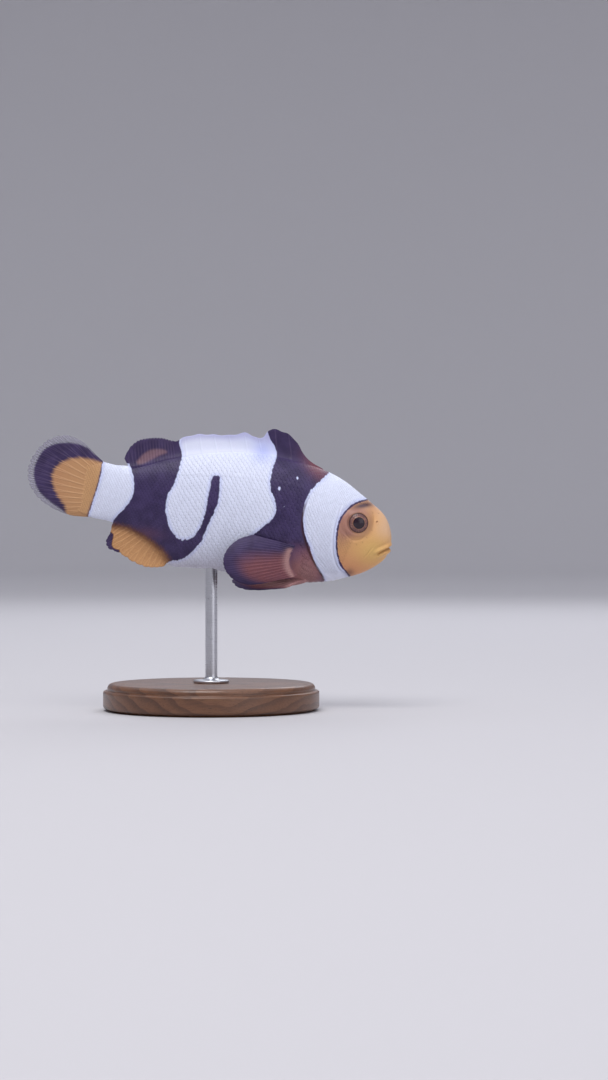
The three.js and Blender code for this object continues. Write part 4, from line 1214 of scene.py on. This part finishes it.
def unwrap_skin(me, P, part, f):
    back, belly = body_line(1, P[:, 0]), body_line(2, P[:, 0])
    c = np.clip((2 * P[:, 2] - back - belly) / np.maximum(back - belly, 1e-3), -1, 1)
    phi = np.arccos(c)
    h = arc_of(P[:, 0], phi)
    top = arc_of(P[:, 0], np.zeros(len(P)))
    low = arc_of(P[:, 0], np.full(len(P), np.pi))
    h = np.where(part == 1, top + P[:, 2] - back, h)
    h = np.where(part == 2, low + P[:, 2] - belly, h)
    h = np.where(part == 3, P[:, 2] * np.interp(P[:, 0], [-28, -24], [1.0, 1.0]), h)
    n = len(me.polygons)
    start = np.empty(n, np.int32)
    count = np.empty(n, np.int32)
    me.polygons.foreach_get("loop_start", start)
    me.polygons.foreach_get("loop_total", count)
    loops = np.empty(len(me.loops), np.int32)
    me.loops.foreach_get("vertex_index", loops)
    face_of = np.repeat(np.arange(n), count)
    left_face = np.bincount(face_of, P[loops, 1], n) > 0
    first = loops[start]
    face_part = part[first]
    lp = face_part[face_of]
    side_of_body = left_face[face_of]
    median = (lp >= 1) & (lp <= 3)
    side_of_body = np.where(median, f["face"][first][face_of] > 0, side_of_body)
    uv = np.where(side_of_body[:, None], uv_of(P[loops, 0], h[loops], True), uv_of(P[loops, 0], h[loops], False))
    # paired fins lie in the free corners of the two rows, each face by itself
    face_side = f["face"][first][face_of]
    for pid, is_left in ((4, True), (5, False), (6, True), (7, False)):
        for fs in (1.0, -1.0):
            pick = (lp == pid) & (face_side == fs)
            if not pick.any():
                continue
            q = loops[pick]
            if pid < 6:
                x, z, size = P[q, 0] + 2.4, P[q, 2] + 11.2, UV_SCALE * 0.84
                corner = (0.760, 0.895) if fs > 0 else (0.030, 0.880)
            else:
                x, z, size = P[q, 0] + 0.5, P[q, 2] + 12.5, UV_SCALE * 0.78
                corner = (0.020, 0.512) if fs > 0 else (0.020, 0.575)
            uv[pick, 0] = corner[0] + x * size
            uv[pick, 1] = corner[1] - (0.0 if is_left else 0.49) + z * size
    layer = me.uv_layers.new(name="OFBake")
    layer.data.foreach_set("uv", uv.astype(np.float32).ravel())
    return uv


skin_uv = unwrap_skin(skin_mesh, skin_rest, part, skin_fields)
print("SKIN", len(skin_mesh.vertices), len(skin_mesh.polygons), "uv", skin_uv.min(0), skin_uv.max(0), flush=True)

skin_mesh.materials.clear()
skin_mesh.materials.append(fish_material("skin"))
skin_mesh.materials.append(fish_material("fin_margin", clear=True))
first = np.empty(len(skin_mesh.polygons), np.int32)
skin_mesh.polygons.foreach_get("loop_start", first)
loops = np.empty(len(skin_mesh.loops), np.int32)
skin_mesh.loops.foreach_get("vertex_index", loops)
is_clear = marks["m_clear"][loops[first]] > -0.45
skin_mesh.polygons.foreach_set("material_index", is_clear.astype(np.int32))
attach(skin, "root")
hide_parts("head", "lower_jaw", "gill_cover_left", "gill_cover_right", "trunk", "tail_peduncle",
            "dorsal_fin_spiny", "dorsal_fin_soft", "anal_fin", "caudal_fin",
            "pectoral_fin_left", "pectoral_fin_right", "pelvic_fin_left", "pelvic_fin_right")

coat_mat = fish_material("scales", coat=True)
for side in (1, -1):
    for fore in (True, False):
        ob = build_scales(side, fore)
        ob.data.materials.append(coat_mat)
        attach(ob, "root")
        ob.data.calc_loop_triangles()
        print(ob.name, "triangles", len(ob.data.loop_triangles), flush=True)


# ------------------------------------------------------------------ eyes
PUPIL = 0.98


def build_eye(side):
    """Ball with a flat iris set in it and the lens standing out through the pupil."""
    seg, rings = 96, 56
    centre, across, up, axis = eye_frame(side)
    r = np.concatenate([np.linspace(0, 1.0, 34)[1:] ** 0.9 * 2.05, 2.05 + (2.3 - 2.05) * np.linspace(0, 1, 8)[1:]])
    r = np.minimum(r, 2.2995)
    front = EYE_DEEP * np.sqrt(np.maximum(0, 1 - (r / 2.3) ** 2))
    iris = smooth(PUPIL - 0.02, PUPIL + 0.10, r) * smooth(OPENING + 0.35, OPENING - 0.05, r)
    front = front - 0.055 * iris
    front = front + 0.050 * smooth(PUPIL, PUPIL - 0.25, r) * np.sqrt(np.maximum(0, 1 - (r / PUPIL) ** 2 * 0.9))
    front = front + 0.035 * bell(r - (PUPIL + 0.05), 0.055)
    back_r = 2.3 * np.cos(np.linspace(0, np.pi / 2, 16)[1:-1])
    back_h = -EYE_DEEP * np.sin(np.linspace(0, np.pi / 2, 16)[1:-1])
    R = np.concatenate([r, back_r])
    Hh = np.concatenate([front, back_h])
    a = np.arange(seg) / seg * 2 * np.pi
    ring = (centre + np.cos(a)[None, :, None] * R[:, None, None] * across
            + np.sin(a)[None, :, None] * R[:, None, None] * up + Hh[:, None, None] * axis)
    k = len(R)
    V = np.vstack([(centre + axis * (EYE_DEEP + 0.050))[None], ring.reshape(-1, 3), (centre - axis * EYE_DEEP)[None]])
    idx = 1 + np.arange(k * seg).reshape(k, seg)
    nxt = np.roll(idx, -1, 1)
    quads = np.stack([idx[:-1], idx[1:], nxt[1:], nxt[:-1]], -1).reshape(-1, 4)
    t1 = np.stack([np.zeros(seg, int), idx[0], nxt[0]], -1)
    t2 = np.stack([np.full(seg, len(V) - 1), nxt[-1], idx[-1]], -1)
    tris = np.vstack([t1, t2])
    x = V[t1[0]]
    if np.dot(np.cross(x[1] - x[0], x[2] - x[0]), axis) < 0:
        quads, tris = quads[:, ::-1], tris[:, ::-1]
    name = "eye_ball_left" if side > 0 else "eye_ball_right"
    me = make_mesh(name, place(V), [tris, quads])
    radius = np.concatenate([[0.0], np.repeat(R, seg), [3.0]])
    radius[1 + len(r) * seg:] = 3.0
    angle = np.concatenate([[0.0], np.tile(a, k), [0.0]])
    set_attr(me, "radius", radius)
    set_attr(me, "spin", np.stack([np.cos(angle), np.sin(angle) * side, radius], -1), "FLOAT_VECTOR")
    set_attr(me, "rest", V, "FLOAT_VECTOR")
    shade_smooth(me)
    return make_object(name, me)


def eye_material():
    k = Nodes("eye")
    r = k.attr("radius")
    spin = k.attr("spin", "Vector")
    rest = k.attr("rest", "Vector")
    streaks = k.noise(k.vmath("MULTIPLY", spin, (7.0, 7.0, 1.2)), 1.0, 4, 0.6)
    mottle = k.noise(rest, 4.0, 3)
    iris = k.mix(k.step(streaks, 0.35, 0.68), linear(104, 70, 70), linear(146, 104, 92))
    iris = k.mix(k.math("MULTIPLY", k.step(mottle, 0.42, 0.60), 0.5), iris, linear(98, 66, 70))
    iris = k.mix(k.step(r, 1.34, 1.64), iris, linear(58, 38, 42))
    ring = k.math("MULTIPLY", k.step(r, PUPIL - 0.02, PUPIL + 0.03), k.step(r, PUPIL + 0.13, PUPIL + 0.05))
    iris = k.mix(k.math("MULTIPLY", ring, 0.60), iris, linear(178, 124, 84))
    colour = k.mix(k.step(r, PUPIL - 0.03, PUPIL + 0.03), linear(34, 16, 32), iris)
    k.put(k.bsdf.inputs["Base Color"], colour)
    k.put(k.bsdf.inputs["Roughness"], k.step(r, PUPIL - 0.05, PUPIL + 0.10, 0.16, 0.38))
    k.bsdf.inputs["Specular IOR Level"].default_value = 0.30
    k.bsdf.inputs["Coat Weight"].default_value = 0.34
    k.bsdf.inputs["Coat Roughness"].default_value = 0.07
    k.put(k.bsdf.inputs["Normal"], k.bump(streaks, 0.4, 0.00002))
    return k.mat


eye_mat = eye_material()
for side, node in ((1, "eye_left"), (-1, "eye_right")):
    ob = build_eye(side)
    ob.data.materials.append(eye_mat)
    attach(ob, "root")
    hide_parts(node)


# ------------------------------------------------------------------ stand
def lathe(name, profile, seg):
    """Solid turned about the vertical through the origin. profile: radius, height from the bottom up, in mm."""
    profile = np.array(profile, float)
    a = np.arange(seg) / seg * 2 * np.pi
    ring = np.stack([profile[:, 0, None] * np.cos(a), profile[:, 0, None] * np.sin(a),
                     np.broadcast_to(profile[:, 1, None], (len(profile), seg))], -1).reshape(-1, 3)
    V = np.vstack([ring, [[0, 0, profile[0, 1]], [0, 0, profile[-1, 1]]]])
    idx = np.arange(len(ring)).reshape(len(profile), seg)
    nxt = np.roll(idx, -1, 1)
    quads = np.stack([idx[:-1], nxt[:-1], nxt[1:], idx[1:]], -1).reshape(-1, 4)
    low = np.stack([np.full(seg, len(ring)), nxt[0], idx[0]], -1)
    high = np.stack([np.full(seg, len(ring) + 1), idx[-1], nxt[-1]], -1)
    me = make_mesh(name, V * MM, [quads, np.vstack([low, high])])
    shade_smooth(me)
    return make_object(name, me)


def rounded(x, z, radius, start, end, steps=10):
    """Points of an arc about (x, z), in degrees."""
    t = np.radians(np.linspace(start, end, steps))
    return [[x + radius * math.cos(w), z + radius * math.sin(w)] for w in t]


def wood_material():
    k = Nodes("walnut")
    mm = k.vmath("SCALE", k.new("ShaderNodeTexCoord").outputs["Object"], 1000.0)
    xyz = k.split(mm)
    sway = k.noise(k.vmath("MULTIPLY", mm, (0.055, 0.10, 0.10)), 1.0, 3, 0.5)
    # growth rings about a pith line that runs under the board, cut nearly along the grain
    y = k.math("ADD", xyz[1], 4.0)
    z = k.math("ADD", xyz[2], k.math("ADD", 11.0, k.math("MULTIPLY", xyz[0], 0.10)))
    radius = k.math("SQRT", k.math("ADD", k.math("MULTIPLY", y, y), k.math("MULTIPLY", z, z)))
    radius = k.math("ADD", radius, k.math("MULTIPLY", sway, 5.5))
    year = k.math("FRACT", k.math("MULTIPLY", radius, 0.62))
    late = k.math("MULTIPLY", k.step(year, 0.20, 0.88), k.step(year, 1.0, 0.93))
    fibre = k.noise(k.vmath("MULTIPLY", mm, (0.30, 5.0, 5.0)), 1.0, 4, 0.65)
    pores = k.noise(k.vmath("MULTIPLY", mm, (0.8, 8.5, 8.5)), 1.0, 2, 0.5)
    colour = k.mix(k.math("MULTIPLY", late, 0.75), linear(112, 74, 50), linear(72, 44, 30))
    colour = k.mix(k.math("MULTIPLY", k.step(sway, 0.35, 0.7), 0.35), colour, linear(128, 86, 58))
    colour = k.mix(k.math("MULTIPLY", k.step(fibre, 0.35, 0.75), 0.38), colour, linear(58, 35, 24))
    colour = k.mix(k.math("MULTIPLY", k.step(pores, 0.62, 0.72), 0.6), colour, linear(34, 21, 15))
    k.put(k.bsdf.inputs["Base Color"], colour)
    k.put(k.bsdf.inputs["Roughness"], k.step(fibre, 0.3, 0.8, 0.32, 0.46))
    k.bsdf.inputs["Coat Weight"].default_value = 0.30
    k.bsdf.inputs["Coat Roughness"].default_value = 0.20
    height = k.math("SUBTRACT", k.math("MULTIPLY", fibre, 0.5), k.math("MULTIPLY", k.step(pores, 0.60, 0.72), 0.7))
    k.put(k.bsdf.inputs["Normal"], k.bump(height, 0.45, 0.00003))
    return k.mat


def steel_material():
    k = Nodes("steel")
    mm = k.vmath("SCALE", k.new("ShaderNodeTexCoord").outputs["Object"], 1000.0)
    lines = k.noise(k.vmath("MULTIPLY", mm, (0.6, 0.6, 26.0)), 1.0, 3, 0.6)
    cloud = k.noise(mm, 0.35, 2)
    k.put(k.bsdf.inputs["Base Color"], k.mix(k.step(lines, 0.3, 0.7), linear(188, 189, 194), linear(206, 207, 212)))
    k.bsdf.inputs["Metallic"].default_value = 1.0
    k.put(k.bsdf.inputs["Roughness"], k.math("ADD", k.step(lines, 0.25, 0.75, 0.24, 0.32), k.step(cloud, 0.3, 0.7, 0.0, 0.06)))
    k.put(k.bsdf.inputs["Normal"], k.bump(lines, 0.25, 0.000006))
    return k.mat


BASE_R, BASE_H, ROD_R, FOOT_R, FOOT_H = 18.0, 4.5, 1.0, 3.0, 0.9
base_profile = [[BASE_R - 0.9, 0.0], [BASE_R - 0.9, 0.25], [BASE_R - 0.45, 0.30]]
base_profile += rounded(BASE_R - 0.5, 0.85, 0.5, -75, 0, 8)
base_profile += [[BASE_R, 1.4], [BASE_R, 2.2], [BASE_R, 2.9]]
base_profile += rounded(BASE_R - 0.35, 2.95, 0.35, 0, 90, 7)
base_profile += [[BASE_R - 0.62, 3.32], [BASE_R - 0.80, 3.42]]
base_profile += rounded(BASE_R - 1.55, BASE_H - 0.85, 0.85, 0, 90, 9)
base_profile += [[r, BASE_H] for r in (14.0, 10.0, 6.0, 3.5, 1.5)]
base = lathe("base", base_profile, 220)
base.data.materials.append(wood_material())
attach(base, "root")
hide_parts("stand_base")

rod_top = float(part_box("stand_rod")[1][2]) / MM
z0 = BASE_H + 0.02
rod_profile = [[FOOT_R - 0.05, z0]] + rounded(FOOT_R - 0.22, z0 + 0.30, 0.22, -40, 90, 8)
rod_profile += [[FOOT_R - 0.55, z0 + 0.55], [FOOT_R - 1.05, z0 + 0.60]]
rod_profile += rounded(ROD_R + 0.62, z0 + 1.22, 0.62, 265, 180, 9)
rod_profile += [[ROD_R, z] for z in np.linspace(z0 + 1.5, rod_top - 0.15, 14)] + [[ROD_R - 0.12, rod_top]]
rod = lathe("rod", rod_profile, 96)
rod.data.materials.append(steel_material())
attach(rod, "root")
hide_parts("stand_rod")

# ------------------------------------------------------------------ stage, lights, camera
K = 1 / 6                        # millimetres for each pixel of the 608 x 1080 frame at the fish
cam_x = (304 - 245) * K + BODY_X
cam_z = BODY_Z - (540 - 515) * K
DIST = 400.0
cam_data = bpy.data.cameras.new("camera")
cam = bpy.data.objects.new("camera", cam_data)
bpy.context.scene.collection.objects.link(cam)
cam_data.sensor_fit = "VERTICAL"
cam_data.sensor_height = 36.0
cam_data.lens = 36.0 * DIST / (1080 * K)
cam_data.clip_start = 0.01
cam_data.clip_end = 50
cam.location = (cam_x * MM, -DIST * MM, cam_z * MM)
cam.rotation_euler = (math.radians(90), 0, 0)
bpy.context.scene.camera = cam

R0, RC, H = 1.6, 0.7, 2.2
profile = [(0.0, 0.0)] + [(r, 0.0) for r in (0.4, 0.8, 1.2, R0)]
profile += [(R0 + RC * math.sin(a), RC - RC * math.cos(a)) for a in np.linspace(0, math.pi / 2, 16)[1:]]
profile += [(R0 + RC, H)]
nseg = 96
V, Fq, Ft = [(0, 0, 0)], [], []
for r, z in profile[1:]:
    V += [(r * math.cos(2 * math.pi * k / nseg), r * math.sin(2 * math.pi * k / nseg), z) for k in range(nseg)]
for k in range(nseg):
    Ft.append([0, 1 + k, 1 + (k + 1) % nseg])
for i in range(len(profile) - 2):
    for k in range(nseg):
        a, b2 = 1 + i * nseg + k, 1 + i * nseg + (k + 1) % nseg
        Fq.append([a, a + nseg, b2 + nseg, b2])
floor_me = make_mesh("floor", V, [np.array(Fq), np.array(Ft)])
shade_smooth(floor_me)
floor = make_object("floor", floor_me)
fl = Nodes("floor")
fl.bsdf.inputs["Base Color"].default_value = linear(190, 188, 191)
fl.bsdf.inputs["Roughness"].default_value = 0.9
fl.bsdf.inputs["Specular IOR Level"].default_value = 0.15
floor_me.materials.append(fl.mat)

world = bpy.data.worlds.new("world")
bpy.context.scene.world = world
world.use_nodes = True
world.node_tree.nodes["Background"].inputs[0].default_value = (0.84, 0.86, 0.94, 1)
world.node_tree.nodes["Background"].inputs[1].default_value = 1.20


def area(name, loc, target, size, power, colour):
    data = bpy.data.lights.new(name, "AREA")
    data.shape = "SQUARE"
    data.size = size
    data.energy = power
    data.color = colour
    ob = bpy.data.objects.new(name, data)
    bpy.context.scene.collection.objects.link(ob)
    ob.location = loc
    ob.rotation_euler = (Vector(target) - Vector(loc)).to_track_quat("-Z", "Y").to_euler()
    return ob


area("key", (-0.10, -0.32, 0.60), (0, 0, 0.03), 0.40, 2.5, (1.0, 0.99, 0.98))
area("fill", (0.45, -0.50, 0.22), (0, 0, 0.03), 0.5, 0.9, (0.94, 0.95, 1.0))
area("rim", (0.10, 0.50, 0.45), (0, 0, 0.03), 0.4, 1.2, (0.93, 0.95, 1.0))
bpy.context.scene.view_settings.view_transform = "Standard"
